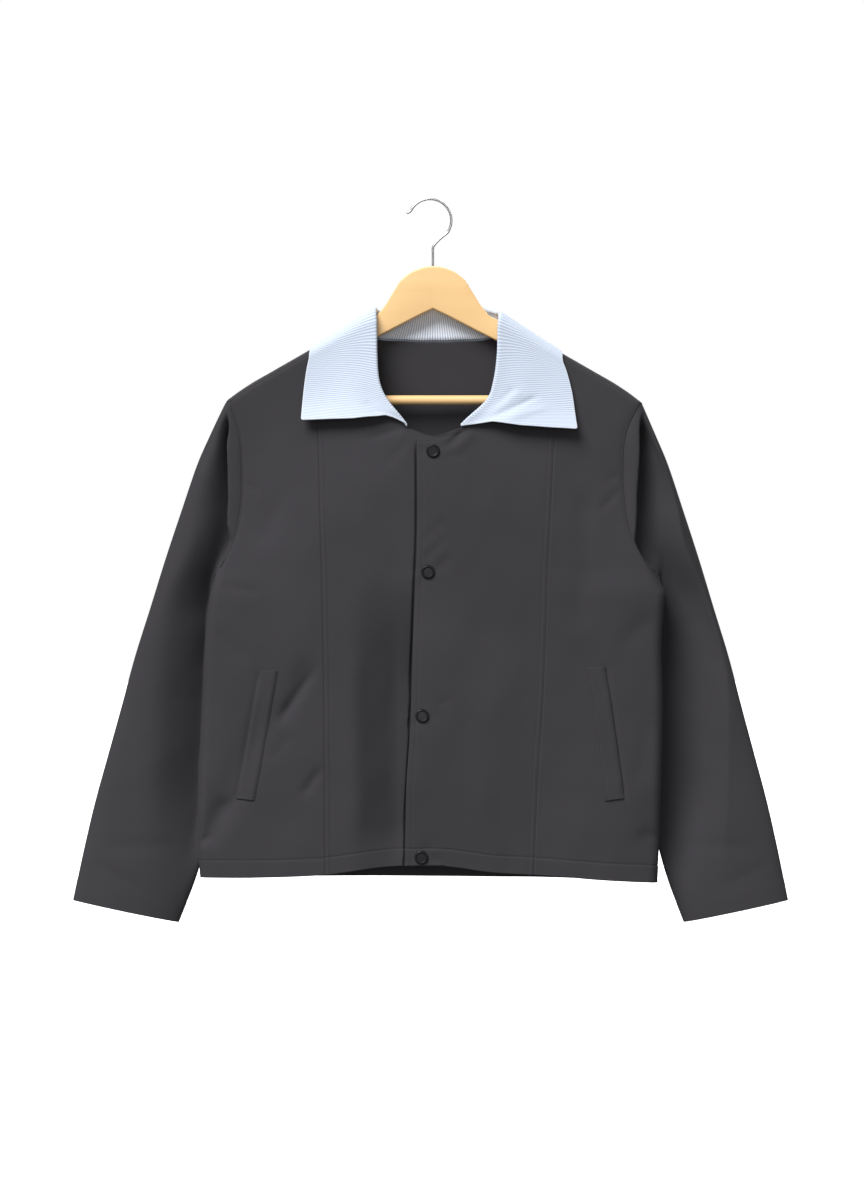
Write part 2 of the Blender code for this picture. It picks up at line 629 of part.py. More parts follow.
def snap(name, place):
    """Snap cap: a turned profile, with its flat underside just off the upper front."""
    mesh = bpy.data.meshes.new(name)
    profile = [(radius * MM, 0, height * MM) for radius, height in SNAP_PROFILE]
    mesh.from_pydata(profile, [(k, k + 1) for k in range(len(profile) - 1)], [])
    cap = bpy.data.objects.new(name, mesh)
    turned = cap.modifiers.new("turn", "SCREW")
    turned.steps = SNAP_STEPS
    turned.render_steps = SNAP_STEPS
    turned.use_merge_vertices = True
    turned.merge_threshold = 0.00001
    point = chart(*place)
    seat = cloth(point, SNAP_GAP)
    outward = seat - cloth(point)
    pitch = np.arctan2(-outward[1], outward[2])
    roll = np.arctan2(outward[0], -outward[1])
    cap.location = (seat * MM).tolist()
    cap.rotation_euler = (pitch, 0, roll)
    return cap


def flat_outline(name, outline, half_thickness, edge_round):
    """A flat board: a filled 2D outline, extruded both ways with rounded edges, standing upright."""
    shape = bpy.data.curves.new(name, "CURVE")
    shape.dimensions = "2D"
    shape.fill_mode = "BOTH"
    shape.extrude = (half_thickness - edge_round) * MM
    shape.bevel_depth = edge_round * MM
    shape.bevel_resolution = 2
    shape.offset = -edge_round * MM
    spline = shape.splines.new("POLY")
    spline.points.add(len(outline) - 1)
    for point, (x, z) in zip(spline.points, outline):
        point.co = (x * MM, z * MM, 0, 1)
    spline.use_cyclic_u = True
    board = bpy.data.objects.new(name, shape)
    board.rotation_euler = (np.pi / 2, 0, 0)
    return board


def hanger_body(name):
    """Flat wooden hanger: a domed middle, two sloping arms just under the shoulder ridge, and deeper
    ends that hold the bar."""
    below = WALL + HANGER_CLEARANCE
    corner = HANGER_END_CORNER
    arm_x = np.linspace(HANGER_ARM_FROM_X, HANGER_END_X - corner, 8)
    upper = HANGER_DOME + [(x, shoulder(x) - below) for x in arm_x]
    upper += [(HANGER_END_X, shoulder(HANGER_END_X) - below - corner)]
    lower = [
        (HANGER_END_X, HANGER_END_Z + corner), (HANGER_END_X - corner, HANGER_END_Z),
        (HANGER_BAR_X, HANGER_END_Z),
        (HANGER_BAR_X, HANGER_BAR_Z + HANGER_BAR_RADIUS + HANGER_BAR_HEADROOM),
    ]
    arm_low_x = np.linspace(HANGER_ARM_TO_X, HANGER_ARM_FROM_X, 6)
    lower += [(x, shoulder(x) - below - HANGER_ARM_DEPTH) for x in arm_low_x]
    right = upper + lower + HANGER_CROTCH[:-1]
    left = [(-x, z) for x, z in right[:0:-1]]
    outline = right + HANGER_CROTCH[-1:] + left
    return flat_outline(name, outline[::-1], HANGER_HALF_THICKNESS, HANGER_EDGE_ROUND)


def wire(name, points, radius, resolution):
    """A round wire along points, with filled ends."""
    shape = bpy.data.curves.new(name, "CURVE")
    shape.dimensions = "3D"
    shape.bevel_depth = radius * MM
    shape.bevel_resolution = resolution
    shape.use_fill_caps = True
    spline = shape.splines.new("POLY")
    spline.points.add(len(points) - 1)
    for point, (x, z) in zip(spline.points, points):
        point.co = (x * MM, 0, z * MM, 1)
    return bpy.data.objects.new(name, shape)


def hanger_hook(name):
    """Wire hook: the tip, the round crown, the leg and the stem, which ends on the dome."""
    centre_z = WIRE_RADIUS - np.sqrt(HOOK_RADIUS ** 2 - HOOK_OFFSET_X ** 2)
    turn = np.radians(np.linspace(HOOK_TO_DEGREES, HOOK_FROM_DEGREES, 22))
    crown_x = HOOK_OFFSET_X + HOOK_RADIUS * np.cos(turn)
    crown_z = centre_z + HOOK_RADIUS * np.sin(turn)
    crown = np.stack([crown_x, crown_z], axis=-1)
    stem = [(0, HANGER_DOME[0][1] + SEAM)]
    points = HOOK_TIP[::-1] + crown.tolist() + HOOK_LEG + stem
    return wire(name, points, WIRE_RADIUS, 2)


def hanger_bar(name):
    """Round trouser bar between the hanger's ends."""
    end = HANGER_BAR_X - SEAM
    return wire(name, [(-end, HANGER_BAR_Z), (end, HANGER_BAR_Z)], HANGER_BAR_RADIUS, 4)


def finish(name):
    """A Principled material from the table of colours."""
    colour, roughness, metallic = COLOURS[name]
    material = bpy.data.materials.new(name)
    material.use_nodes = True
    shader = material.node_tree.nodes["Principled BSDF"]
    shader.inputs["Base Color"].default_value = (*colour, 1)
    shader.inputs["Roughness"].default_value = roughness
    shader.inputs["Metallic"].default_value = metallic
    return material


def main():
    for old in list(bpy.data.objects):
        bpy.data.objects.remove(old, do_unlink=True)
    jacket = bpy.data.collections.new("four_button_jacket")
    bpy.context.scene.collection.children.link(jacket)
    materials = {name: finish(name) for name in COLOURS}

    def add(part, material):
        part.data.materials.append(materials[material])
        jacket.objects.link(part)

    add(hanger_body("hanger_body"), "pale_wood")
    add(hanger_bar("hanger_bar"), "pale_wood")
    add(hanger_hook("hanger_hook"), "bright_wire")
    for hand, side in ((-1, "right"), (1, "left")):
        add(front_centre(f"front_centre_{side}", hand), "charcoal_cloth")
        add(front_side(f"front_side_{side}", hand), "charcoal_cloth")
        add(sleeve(f"sleeve_{side}", hand), "charcoal_cloth")
    add(back("back"), "charcoal_cloth")
    add(collar("collar"), "striped_cloth")
    add(welt("pocket_welt_right", WELT_RIGHT), "charcoal_cloth")
    add(welt("pocket_welt_left", WELT_LEFT), "charcoal_cloth")
    for number, place in enumerate(SNAPS, 1):
        add(snap(f"snap_{number}", place), "black_snap")


main()
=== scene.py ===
"""The looks of a four-button jacket with an open striped collar, on a flat wooden hanger.

Sizes are in millimetres and become metres when a mesh is made. The front faces -Y, +X is the
wearer's left, +Z is up, and the origin is the inside of the hook's crown.

The cloth is drawn on one chart. A chart point is (a, w): a runs across the body and w runs down
from the shoulder ridge, positive down the front and negative down the back. The function cloth
lays a chart point on the jacket, at a height above the cloth's outer face.
"""

import bmesh
import bpy
import numpy as np
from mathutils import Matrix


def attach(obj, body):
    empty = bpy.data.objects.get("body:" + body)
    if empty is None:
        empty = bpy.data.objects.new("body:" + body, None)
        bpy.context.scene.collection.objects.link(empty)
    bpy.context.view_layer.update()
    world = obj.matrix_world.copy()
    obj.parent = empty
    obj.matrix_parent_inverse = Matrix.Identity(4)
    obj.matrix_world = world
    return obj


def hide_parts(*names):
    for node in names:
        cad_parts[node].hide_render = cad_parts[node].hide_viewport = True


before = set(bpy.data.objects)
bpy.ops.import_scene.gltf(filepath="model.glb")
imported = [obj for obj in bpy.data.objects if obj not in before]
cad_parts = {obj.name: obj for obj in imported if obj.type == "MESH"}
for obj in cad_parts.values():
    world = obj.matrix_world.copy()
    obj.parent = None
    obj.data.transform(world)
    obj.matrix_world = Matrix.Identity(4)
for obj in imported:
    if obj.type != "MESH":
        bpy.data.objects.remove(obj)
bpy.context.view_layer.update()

MM = 0.001
TURN = 2 * np.pi

# Cloth. The bend's extra is the length of a quarter bend over its height. A round edge reaches in by
# a share of half the wall and starts at another. The normal's step is a small way along the chart
WALL = 1.1
SEAM = 0.015
RIDGE_RADIUS = 10.0
BEND_EXTRA = RIDGE_RADIUS * (np.pi / 2 - 1)
SHOULDER_SEAM = 10.0
CHEST_FULLNESS = 26.0
CHEST_DROP = 220.0
BACK_FULLNESS = 10.0
BACK_DROP = 200.0
SIDE_FORWARD = 12.0
SIDE_FORWARD_X = (90, 250)
SIDE_FORWARD_BELOW = (300, 450)
NORMAL_STEP = 0.4
EDGE_REACH = 1.4
EDGE_LEAST = 0.12

# Under front: its step down, its broad hollow and the groove along the upper front's edge
UNDERLAP_X = 14.0
UNDERLAP_SINK = 2.1
UNDERLAP_SINKS_AT = (-80, -38)
UNDERLAP_HOLLOW = 18.0
UNDERLAP_HOLLOW_AT = (-90, -38)
UNDERLAP_HOLLOW_BELOW = (425, 540)
UNDERLAP_HOLLOW_EASE = 0.4
UNDERLAP_HOLLOW_EASES_BELOW = (690, 740)
UNDERLAP_GROOVE = 3.4
UNDERLAP_GROOVE_OFF = (-3.4, -0.8)
UNDERLAP_GROOVE_BELOW = (268, 292)

# Upper front: how far its edge flares forward. Both fronts are thicker over the facing inside, which
# ends at these places across on the hem
FRONT_FLARE = 11.0
FRONT_FLARE_AT = (-30, 85)
FRONT_FLARE_BELOW = (420, 600)
FRONT_FLARE_EASE = 0.5
FRONT_FLARE_EASES_BELOW = (640, 740)
FACING_HALF = 0.15
FACING_REACH = (18, 26)
FACING_ENDS = (-51.0, 56.0)

# Sewing: distances from the edge or seam that each row follows, where some rows start and end, and
# the points of the fine line that a row is laid on. Pairs are for the right side and the left side
PRINCESS_ROWS = (1.5, 5.8)
PRINCESS_ROW_BELOW = 3
FRONT_EDGE_ROW = 6.6
FRONT_EDGE_ROW_START = 12
NECK_ROWS = (1.8, 5.6)
NECK_ROW_FROM = (0.5, 0.04)
NECK_ROW_TO = 0.93
NECK_ROW_POINTS = 60
HEM_ROW = 19.0
HEM_ROW_RIGHT_TO = -33
FRONT_HEM_POINTS = 160
BACK_HEM_POINTS = 400
CUFF_ROW = 24.0
SHOULDER_ROW = 1.8
SHOULDER_ROW_POINTS = 120
FACING_ROW_OFF_HEM = 1.5
FACING_ROW_POINTS = 20

# One stitch: a bar, with its places along and its girths as shares of its length and radius
STITCH_PITCH = 3.0
STITCH_LENGTH = 2.3
STITCH_RADIUS = 0.34
STITCH_PLACES = (-0.5, -0.36, 0.0, 0.36, 0.5)
STITCH_GIRTHS = (0.35, 0.85, 1.0, 0.85, 0.35)
STITCH_CORNERS = (45, 135, 225, 315)
STITCH_FLATNESS = 0.8
STITCH_SINK = 0.2

# Dips and swells beside sewing: height (below 0 is a dip), distance from the seam or edge, width
SEAM_DIP = (-0.45, 0, 0.7)
SEAM_SWELL = (0.1, 2.4, 1.3)
ARMHOLE_DIP = (-0.8, 0, 4.0)
ARMHOLE_DIP_FADE = 0.03
PRINCESS_SWELL = (0.18, 3.6, 1.3)
HEM_DIP = (-0.45, HEM_ROW, 0.8)
CUFF_DIP = (-0.35, CUFF_ROW, 1.2)
STITCH_DIP = -0.2
STITCH_DIP_WIDTH = 0.7
SHOULDER_DIP_SHARE = 1.6
SHOULDER_STITCH_SHARE = 1.5
HEM_SWELL = 0.35
HEM_SWELL_TO = (HEM_ROW - 1.2, HEM_ROW + 0.4)
CUFF_SWELL = 0.2
CUFF_SWELL_TO = (CUFF_ROW - 3, CUFF_ROW)

# Grids: points of a fine line, distances of the grid's lines from an edge, seam, hem, side seam or
# neckline, and the pitch between. Where no edge is near, a distance is far
FINE_STEPS = 481
HEM_BEND_STEPS = 101
EDGE_STEPS = (0, 0.15, 0.4, 0.8, 1.3, 2.0, 3.0, 4.4)
FRONT_EDGE_STEPS = EDGE_STEPS + (5.4, 6.0, 6.6, 7.2, 8.0, 9.5)
PRINCESS_STEPS = (0, 0.3, 0.7, 1.1, 1.5, 1.9, 2.5, 3.4, 4.4, 5.0, 5.4, 5.8, 6.2, 6.7, 8.0)
SEAM_STEPS = (0, 0.3, 0.7, 1.2, 1.9, 2.8, 4.0)
HEM_STEPS = (
    0, 0.15, 0.4, 0.8, 1.4, 2.4, 4.5, 8, 12, 15.5, 17.2, 17.9, 18.5, 19.0, 19.5, 20.1, 20.8, 22.5, 25,
)
SIDE_STEPS = (0, 0.3, 0.7, 1.2, 1.9, 3, 4.5, 6, 8, 10, 12, 14, 16.5, 19)
NECK_STEPS = (0, 0.15, 0.4, 0.8, 1.3, 1.8, 2.3, 3.0, 4.0, 5.0, 5.6, 6.2, 7.4, 9.5)
TIP_STEPS = (0, 1.5)
UNDERLAP_STEPS = tuple(range(13))
UNDERLAP_PITCH = 1.0
PITCH = 3.4
FAR = 500.0
# A grid row nearer to the armpit's own row than this share of the edge is left out
ARMPIT_ROW_GAP = 0.0015

# Back: rows over the shoulder from the seam to the neck's corner, as chart distances from the ridge
BACK_CORNER_W = -20.0
BACK_OVER_ROWS = (
    10, 9.7, 9.3, 8.8, 8.1, 7, 5.5, 4, 2.5, 1, -0.5, -2, -4, -6.5, -9.5, -13, -16.5, BACK_CORNER_W,
)
BACK_NECK_STEPS = (0, 1, 2.5, 5)
BACK_TOP_STEPS = (0, 2.0, 4.2)
BACK_NECK_COUNT = 37
BACK_PITCH = 4.0
BACK_HEM_BELOW = -100
# Each shoulder's part of the cut above the neck's corners: length over the shoulder, width
BACK_SHOULDER_CUT = (30, 140)

# Shoulder ridge: distance from the middle, height
SHOULDER = [
    (0, -109), (30, -111), (59.4, -123), (155, -175.5), (178, -188.7),
    (201, -202), (220, -215), (232, -224.5),
]

# Side outline: height, right side of the wearer, left side of the wearer
SIDE = [
    (-405, 237, 241), (-418, 240.5, 247.5), (-425, 242.3, 251.3), (-431, 243.8, 254.6),
    (-438, 245, 254.4), (-450, 246.5, 253), (-483, 249.7, 250.8), (-553, 252.5, 252),
    (-589, 254, 251.5), (-650, 257, 250), (-708, 257.6, 248), (-745, 255, 246),
]

# Armhole: height, distance from the middle on the right side, on the left side
ARMHOLE = [
    (-256, 212.5, 211.5), (-298, 209, 208), (-334, 210, 210), (-362, 214.6, 215),
    (-380, 221, 222.5), (-397, 229.5, 232),
]
SHOULDER_POINT = (227, 230)
ARMPIT_Z = (-412, -410)

# Princess seam: height, distance from the middle on the right side, on the left side
PRINCESS = [
    (-165, 135, 140), (-262, 126, 133), (-332, 124, 129.5), (-395, 122, 126), (-483, 120, 123),
    (-556, 119, 120), (-629, 118.5, 115), (-750, 118, 110),
]

# Edge of the upper front: height, distance across
FRONT_EDGE = [
    (-261, -17.5), (-377, -17.6), (-423, -19.4), (-483, -21.8), (-589, -25), (-641, -28.4),
    (-750, -30.6),
]

# Hem: distance across, height in front, height at the back
HEM = [
    (-262, -743.5, -743.5), (-190, -743, -743.5), (-120, -740, -744), (-50, -731, -744),
    (15, -730, -744.5), (62, -736.5, -745), (128, -741, -745.5), (186, -746, -747),
    (252, -749.5, -749.5),
]

# Neckline below the collar's ends: the upper front's points and the under front's points
NECK_LOW_UPPER = [(15, -256.5), (4, -260), (-17.5, -261)]
NECK_LOW_UNDER = [(-15, -255.5), (-2, -260), (UNDERLAP_X, -263)]
NECK_LOW_COUNT = 81

# Folds, waves and dimples of the body come in over these drops below the shoulder. A fold comes in
# and goes out over these shares of its length
FOLDS_FROM_DROP = (20, 80)
FOLD_RISE = (-0.1, 0.35)
FOLD_FALL = (0.8, 1.15)

# Folds and creases: start and end across and down, half width, height (below 0 is a trough), and
# side, 1 on the front and -1 on the back
FOLDS = [
    # broad ones
    (-70, -425, -72, -740, 20, -1.5, 1),
    (-133, -500, -163, -571, 10, -2.4, 1),
    (-223, -655, -250, -705, 11, -3.6, 1),
    (226, -690, 250, -716, 11, -2.5, 1),
    (75, -480, 62, -735, 26, 2.5, 1),
    (-95, -300, -88, -735, 28, 3.0, -1),
    (88, -330, 100, -735, 26, 3.0, -1),
    (5, -420, -4, -740, 24, -2.5, -1),
    # front, right side
    (-127, -512, -167, -570, 4.8, -2.8, 1),
    (-121, -622, -142, -652, 5, -2.0, 1),
    (-156, -585, -178, -615, 8, -1.0, 1),
    (-244, -697, -258, -708, 3.4, -2.2, 1),
    (-205, -650, -232, -668, 6, -1.0, 1),
    (-178, -555, -242, -690, 18, -3.2, 1),
    (-166, -318, -186, -378, 13, -1.5, 1),
    (-206, -311, -190, -321, 3.6, -1.0, 1),
    (-232, -423, -192, -431, 5, -1.2, 1),
    (-238, -470, -205, -505, 9, -1.0, 1),
    (-90, -470, -84, -700, 15, 1.2, 1),
    (-30, -250, -70, -262, 4.5, -1.2, 1),
    (-24, -262, -52, -290, 5, -0.8, 1),
    # front, left side
    (14, -350, -10, -376, 6, -0.9, 1),
    (16, -368, -8, -394, 5, -0.9, 1),
    (20, -392, 6, -402, 5, -0.7, 1),
    (12, -274, 34, -254, 3.2, -2.4, 1),
    (24, -276, 44, -257, 5, 1.3, 1),
    (-4, -264, 20, -259, 2.4, -0.8, 1),
    (14, -278, 34, -284, 5, -0.8, 1),
    (163, -318, 168, -392, 13, -1.7, 1),
    (168, -384, 158, -470, 14, -1.4, 1),
    (206, -318, 184, -340, 4.2, -1.2, 1),
    (204, -304, 190, -308, 3.4, -0.9, 1),
    (-2, -716, 16, -731, 3.4, -0.9, 1),
    (0, -555, 20, -548, 5, -0.7, 1),
    (240, -455, 205, -492, 10, -1.0, 1),
    (236, -560, 225, -640, 9, -1.0, 1),
    (238, -694, 250, -702, 3.4, -1.2, 1),
    (60, -640, 92, -735, 12, -1.2, 1),
    # back
    (-205, -300, -168, -372, 9, -1.8, -1),
    (203, -305, 160, -380, 9, -1.7, -1),
    (-178, -430, -150, -560, 14, -1.8, -1),
    (170, -440, 146, -580, 13, -1.9, -1),
    (-215, -640, -240, -712, 10, -1.8, -1),
    (208, -650, 238, -716, 10, -1.8, -1),
    (-36, -480, -52, -720, 15, 1.6, -1),
    (40, -500, 52, -715, 13, 1.4, -1),
    (-60, -235, 62, -242, 9, -1.0, -1),
]

# Slow waves of uneven cloth: waves per metre across and down, height, phase
WAVES = [
    (11, 5, 0.22, 0.4), (-7, 9, 0.2, 2.1), (17, -4, 0.13, 4.0), (5, 19, 0.1, 1.2),
    (-23, 13, 0.07, 5.1),
]
WAVE_SHIFT = 1.7

# Collar, from the front tip to the back's middle. Columns: chart side (1 front, 0 ridge, -1 back),
# neck seam x on the right and left sides and z, roll line x, x, z and height above the cloth,
# outer edge x, z on the right side and x, z on the left side
COLLAR = [
    (1, 28.5, 30.5, -249.5, 28, 30, -247.5, 1.8, 143.4, -241.5, 156.6, -249),
    (1, 51, 60, -224, 48.5, 57.5, -221, 2.2, 142.8, -226, 155.2, -233),
    (1, 66, 73, -204, 58, 65.5, -200, 2.8, 141.3, -207, 152.4, -212),
    (1, 73, 80, -175, 60.5, 69.5, -172, 3.2, 138.5, -186, 147, -190),
    (1, 79, 85, -152, 61, 70.3, -147, 3.4, 135, -170, 142, -176),
    (0, 82.5, 87, 0, 62, 70.8, 0, 3.4, 131, 0, 138, 0),
    (-1, 70, 74, -146.5, 56, 61, -126, 4.4, 112, -181, 116, -183),
    (-1, 45, 46, -151.8, 32, 34, -118, 4.2, 66, -190, 68, -191),
    (-1, 22, 23, -152.8, 15, 16, -115.5, 4.0, 32, -192, 33, -192.5),
    (-1, 0, 0, -153, 0, 0, -114.8, 4.0, 0, -193, 0, -193),
]

# Bottom edge of each collar leaf from its tip to its outer corner: share of the way, height
COLLAR_END_RIGHT = [
    (0, -247.5), (0.12, -240.9), (0.2, -238.6), (0.28, -240.4), (0.5, -243), (0.78, -243.7),
    (1, -244.2),
]
COLLAR_END_LEFT = [
    (0, -249.5), (0.13, -247.8), (0.27, -245.8), (0.38, -248.2), (0.5, -250.6), (0.78, -253),
    (1, -253.9),
]
COLLAR_WALL = 1.5
COLLAR_ROLL = 1.8
COLLAR_TIP_ROLL = 0.3
COLLAR_REST = 1.8
COLLAR_EDGE_LIFT = 1.2
COLLAR_BOTTOM_LIFT = 11.5
COLLAR_CORNER = 3.0
COLLAR_CORNER_LEAST = 0.001
NECK_CLEARANCE = 1.9
STRIPE_PITCH = 2.55
STRIPE_SLANT = 19.0

# Ways in from the collar's ends, counted in stations: where the leaves end and the back begins, where
# the roll is full, how fast the bottom's own line and lift fade, where the stripes stop slanting
COLLAR_LEAF_TO = (4.0, 5.2)
COLLAR_ROLL_FULL = (0, 0.6)
COLLAR_END_STATIONS = 0.8
COLLAR_LIFT_STATIONS = 1.1
STRIPE_SLANT_TO = (2.6, 4.9)
# Ways across from the roll line, as shares of the fall or of the stand
COLLAR_LIFT_FROM = (0, 0.45)
COLLAR_FOLDS_FROM = (0.02, 0.2)
COLLAR_STAND_FROM = (0, 0.2)

# Grid of the collar: columns in each station and close to each end, rows up the stand and over the
# roll, and rows of the fall as shares of the way to the edge
COLLAR_STEPS = (14, 13, 14, 13, 14, 18, 14, 8, 8)
COLLAR_END_STEPS = (0.004, 0.01, 0.02, 0.035)
COLLAR_STAND_ROWS = 8
COLLAR_ROLL_ROWS = 12
COLLAR_FALL_ROWS = (*np.linspace(0, 0.95, 30), 0.965, 0.977, 0.986, 0.992, 0.996, 0.9985, 1)
COLLAR_FOLDS = [
    (64, -242, 112, -218, 3.2, -1.9, 1),
    (62, -236, 96, -212, 4.0, 1.0, 1),
    (70, -246, 122, -230, 3.5, 0.9, 1),
    (66, -232, 88, -208, 3.0, -0.8, 1),
    (-58, -240, -74, -224, 3.0, -1.2, 1),
    (-56, -234, -66, -214, 3.0, 0.6, 1),
]

# Sleeve, from the armhole to the cuff. Columns: outer edge x, z, y; under edge x, z, y; half depth
SLEEVE = [
    (229, -223, 0, 239, -412, -10, 14),
    (238, -242, 1, 242.5, -420, -5.5, 15),
    (248, -264, 2, 243.5, -434, -2, 16),
    (260, -292, 4, 244.5, -452, 3, 17),
    (277, -341, 7, 244, -478, 8, 18),
    (295, -394, 10, 243, -508, 12, 18),
    (312, -448, 12, 241, -543, 15, 17.5),
    (329, -502, 13, 239, -582, 17, 16.5),
    (343.5, -556, 14, 238.5, -622, 18.5, 16),
    (358.3, -610, 14, 241, -662, 19, 15.5),
    (372.8, -663, 14, 249, -703, 17, 15),
    (385.5, -717, 14, 262, -748, 16, 14.5),
    (397, -770.6, 14, 280.5, -795, 15, 14),
]

# Rings of the sleeve, counted in stations: close at the armhole and at the cuff. The first stations
# lead over from the armhole's own line, where the edge is tucked in under the body's cloth, with its
# two faces at two depths. Pairs are for the right side and the left side
SLEEVE_TOP_ROWS = (0, 0.006, 0.014, 0.026, 0.042, 0.065, 0.1, 0.15, 0.2)
SLEEVE_CUFF_ROWS = (0.27, 0.2, 0.13, 0.08, 0.05, 0.03, 0.016, 0.007, 0)
SLEEVE_LEAD = 3
SLEEVE_LEAD_FROM = 0.26
SLEEVE_LEAD_ROWS = 44
SLEEVE_LOWER_ROWS = 112
SLEEVE_ROWS_LEFT_TO_CUFF = 5
SLEEVE_ROUND = 150
SLEEVE_SCALE = (1.0, 0.9865)
SLEEVE_TUCK = 1.6
SLEEVE_TUCK_DEPTHS = (0.6, 1.4)

# Under side at the armpit: how near it comes to the body's side, and how it sinks in at the seam
SLEEVE_FOLD_ANGLES = (0.9, 0.1)
SLEEVE_PIT_CLEARANCE = 0.5
SLEEVE_PIT_CLEAR_AT = (1.4, 2.4)
SLEEVE_PIT_SINK = 0.6
SLEEVE_PIT_SINKS_TO = (1.0, 1.8)
SLEEVE_UNDER_SINK = (0.0, 3.2)
SLEEVE_UNDER_SINK_AT = (0.9, 0.9)
SLEEVE_UNDER_FOLLOWS_TO = (4, 8)
SLEEVE_BACK_FULLNESS = 9.0
SLEEVE_BACK_FROM = (0, 0.6)
SLEEVE_BACK_TO = (3, 8)

# Fold edge beside the armhole on the sleeve's front: height, distance from the middle right, left.
# Outside it the cloth drops into a valley
SLEEVE_FOLD = [
    (-222, 230, 232), (-245, 221.5, 226), (-290, 217.5, 223), (-340, 217, 220.5), (-380, 221.5, 223),
    (-397, 229.5, 232), (-415, 238, 242), (-431, 242.8, 253.2), (-440, 244.8, 253.2),
    (-483, 248.5, 249.6), (-553, 251.3, 250.8), (-650, 255.8, 248.8), (-745, 254, 245),
]
# The valley's far side follows that edge smoothed over these heights
SLEEVE_FOLD_SHIFTS = (-36, -24, -12, 0, 12, 24, 36)
SLEEVE_VALLEY_DEPTH = (36.0, 44.0)
SLEEVE_VALLEY_POWER = (2.0, 1.1)
SLEEVE_VALLEY_EASE = (0.35, 0.05)
SLEEVE_VALLEY_EASES = (410, 480)
SLEEVE_VALLEY_ENDS = (640, 775)
SLEEVE_VALLEY_WIDTH = 50.0
# Its width at the sleeve's head and what is added further down, as shares, with the drops
SLEEVE_VALLEY_HEAD = 0.3
SLEEVE_VALLEY_WIDENS = ((0.7, 235, 345), (0.5, 390, 510))
SLEEVE_VALLEY_FROM = (228, 275)
# The valley's depth is the lesser of what is wanted and a share of the sleeve's own depth there, both
# at least a little, with a soft change between
SLEEVE_VALLEY_ROOM = 0.92
SLEEVE_VALLEY_LEAST = 0.01
SLEEVE_VALLEY_CHANGE = 4
SLEEVE_STRIP_TO = (355, 392)
SLEEVE_STRIP_SWELL = (1.2, -4, 5)
SLEEVE_LIP = (8.5, 3.5)
SLEEVE_RIDGE = (3.5, 1.0)
SLEEVE_RIDGE_WIDTH = 18
# Where these forms begin and end: as sine and cosine of the angle round, as distance beyond the fold
# edge, as room inside the sleeve, and as stations from the armhole
SLEEVE_FRONT_FROM = (0.05, 0.5)
SLEEVE_OUTER_FROM = (0.75, 0.98)
SLEEVE_BEHIND_FROM = (0, 0.8)
SLEEVE_VALLEY_STEP = (-0.5, 3)
SLEEVE_LIP_RISE = (-8, 0)
SLEEVE_LIP_FALL = (0, 3)
SLEEVE_VALLEY_NEEDS = (5, 22)
SLEEVE_RIDGE_NEEDS = (14, 30)
SLEEVE_RELIEF_FULL = 0.02
SLEEVE_VALLEY_FULL = 0.15
SLEEVE_LIP_FULL = 0.3
SLEEVE_STRIP_FULL = 0.35
SLEEVE_NORMAL_FULL = 1.5

# Creases of the sleeve: place along from the armhole (0) to the cuff (1) and angle round (0 outer
# edge, a quarter turn the front), at start and end, half width in mm, height
SLEEVE_CREASES = [
    (0.30, 2.5, 0.44, 1.4, 8, -0.6), (0.40, 2.6, 0.55, 1.7, 9, -0.5), (0.52, 2.5, 0.62, 1.2, 10, -0.5),
    (0.60, 2.3, 0.78, 1.1, 12, 0.6), (0.86, 2.2, 0.90, 0.9, 7, -0.8), (0.93, 0.6, 0.95, 1.7, 5, -0.7),
    (0.28, 3.9, 0.46, 5.0, 8, -1.6), (0.42, 3.8, 0.58, 4.8, 9, -1.4), (0.62, 4.0, 0.80, 5.2, 12, 1.2),
    (0.10, 4.1, 0.24, 5.2, 9, -1.8),
]
SLEEVE_CREASE_FALL = (0.75, 1.15)
SLEEVE_CREASE_LENGTH = 540
SLEEVE_CREASE_RADIUS = 42
SLEEVE_WAVE = 0.25
SLEEVE_WAVE_TURNS = (3, 9)
SLEEVE_WAVE_FROM = (0.1, 0.3)
# What the cut has above the middle of the armhole, in metres, and how much larger than its
# cloth a cut's width times length is at least
SLEEVE_HEAD_CUT = 0.09
CUT_MARGIN = 1.02

# Pocket welts: corners (inner top, outer top, outer bottom, inner bottom) as across, down
WELT_RIGHT = [(-169, -516), (-190, -517), (-215, -657), (-194.5, -659)]
WELT_LEFT = [(168, -513.6), (188, -511.7), (209, -656.7), (187, -659.5)]
WELT_THICKNESS = 1.5
WELT_LIFT = 0.15
WELT_PITCHES = (1.2, 2.4)
WELT_EDGE_ROW = 2.2
WELT_EDGE_ROW_IN = 3
WELT_ROW_POINTS = 60
WELT_END_ROWS = (1.6, 4.6)
WELT_GAPE = 0.9
WELT_GAPE_WIDTH = 9
WELT_GAPE_FROM = (2, 40)
WELT_GAPE_TO = (30, 2)
WELT_SINK = 1.0
WELT_SINK_WIDTH = 4.5
WELT_WAVE = 0.12
WELT_WAVE_LENGTHS = (7, 9)

# Trough of the cloth along each pocket's mouth
MOUTH_DEPTH = 1.5
MOUTH_WIDTH = 2.6
MOUTH_PAST_END = 4
MOUTH_FULL_IN = 8

# Snaps: place across and down, and turned cap as radius, height
SNAPS = [(0, -276.7), (-5.5, -408.7), (-12, -566), (-13, -720)]
SNAP_PROFILE = [
    (0.3, 1.7), (2.2, 1.72), (4.4, 1.66), (5.0, 1.68), (5.25, 1.9), (5.4, 2.25), (5.65, 2.46),
    (6.1, 2.45), (6.55, 2.28), (6.95, 2.0), (7.25, 1.6), (7.45, 1.1), (7.42, 0.5), (7.1, 0.1),
    (6.4, 0.0), (0.3, 0.0),
]
SNAP_GAP = 0.25
SNAP_SIDES = 64
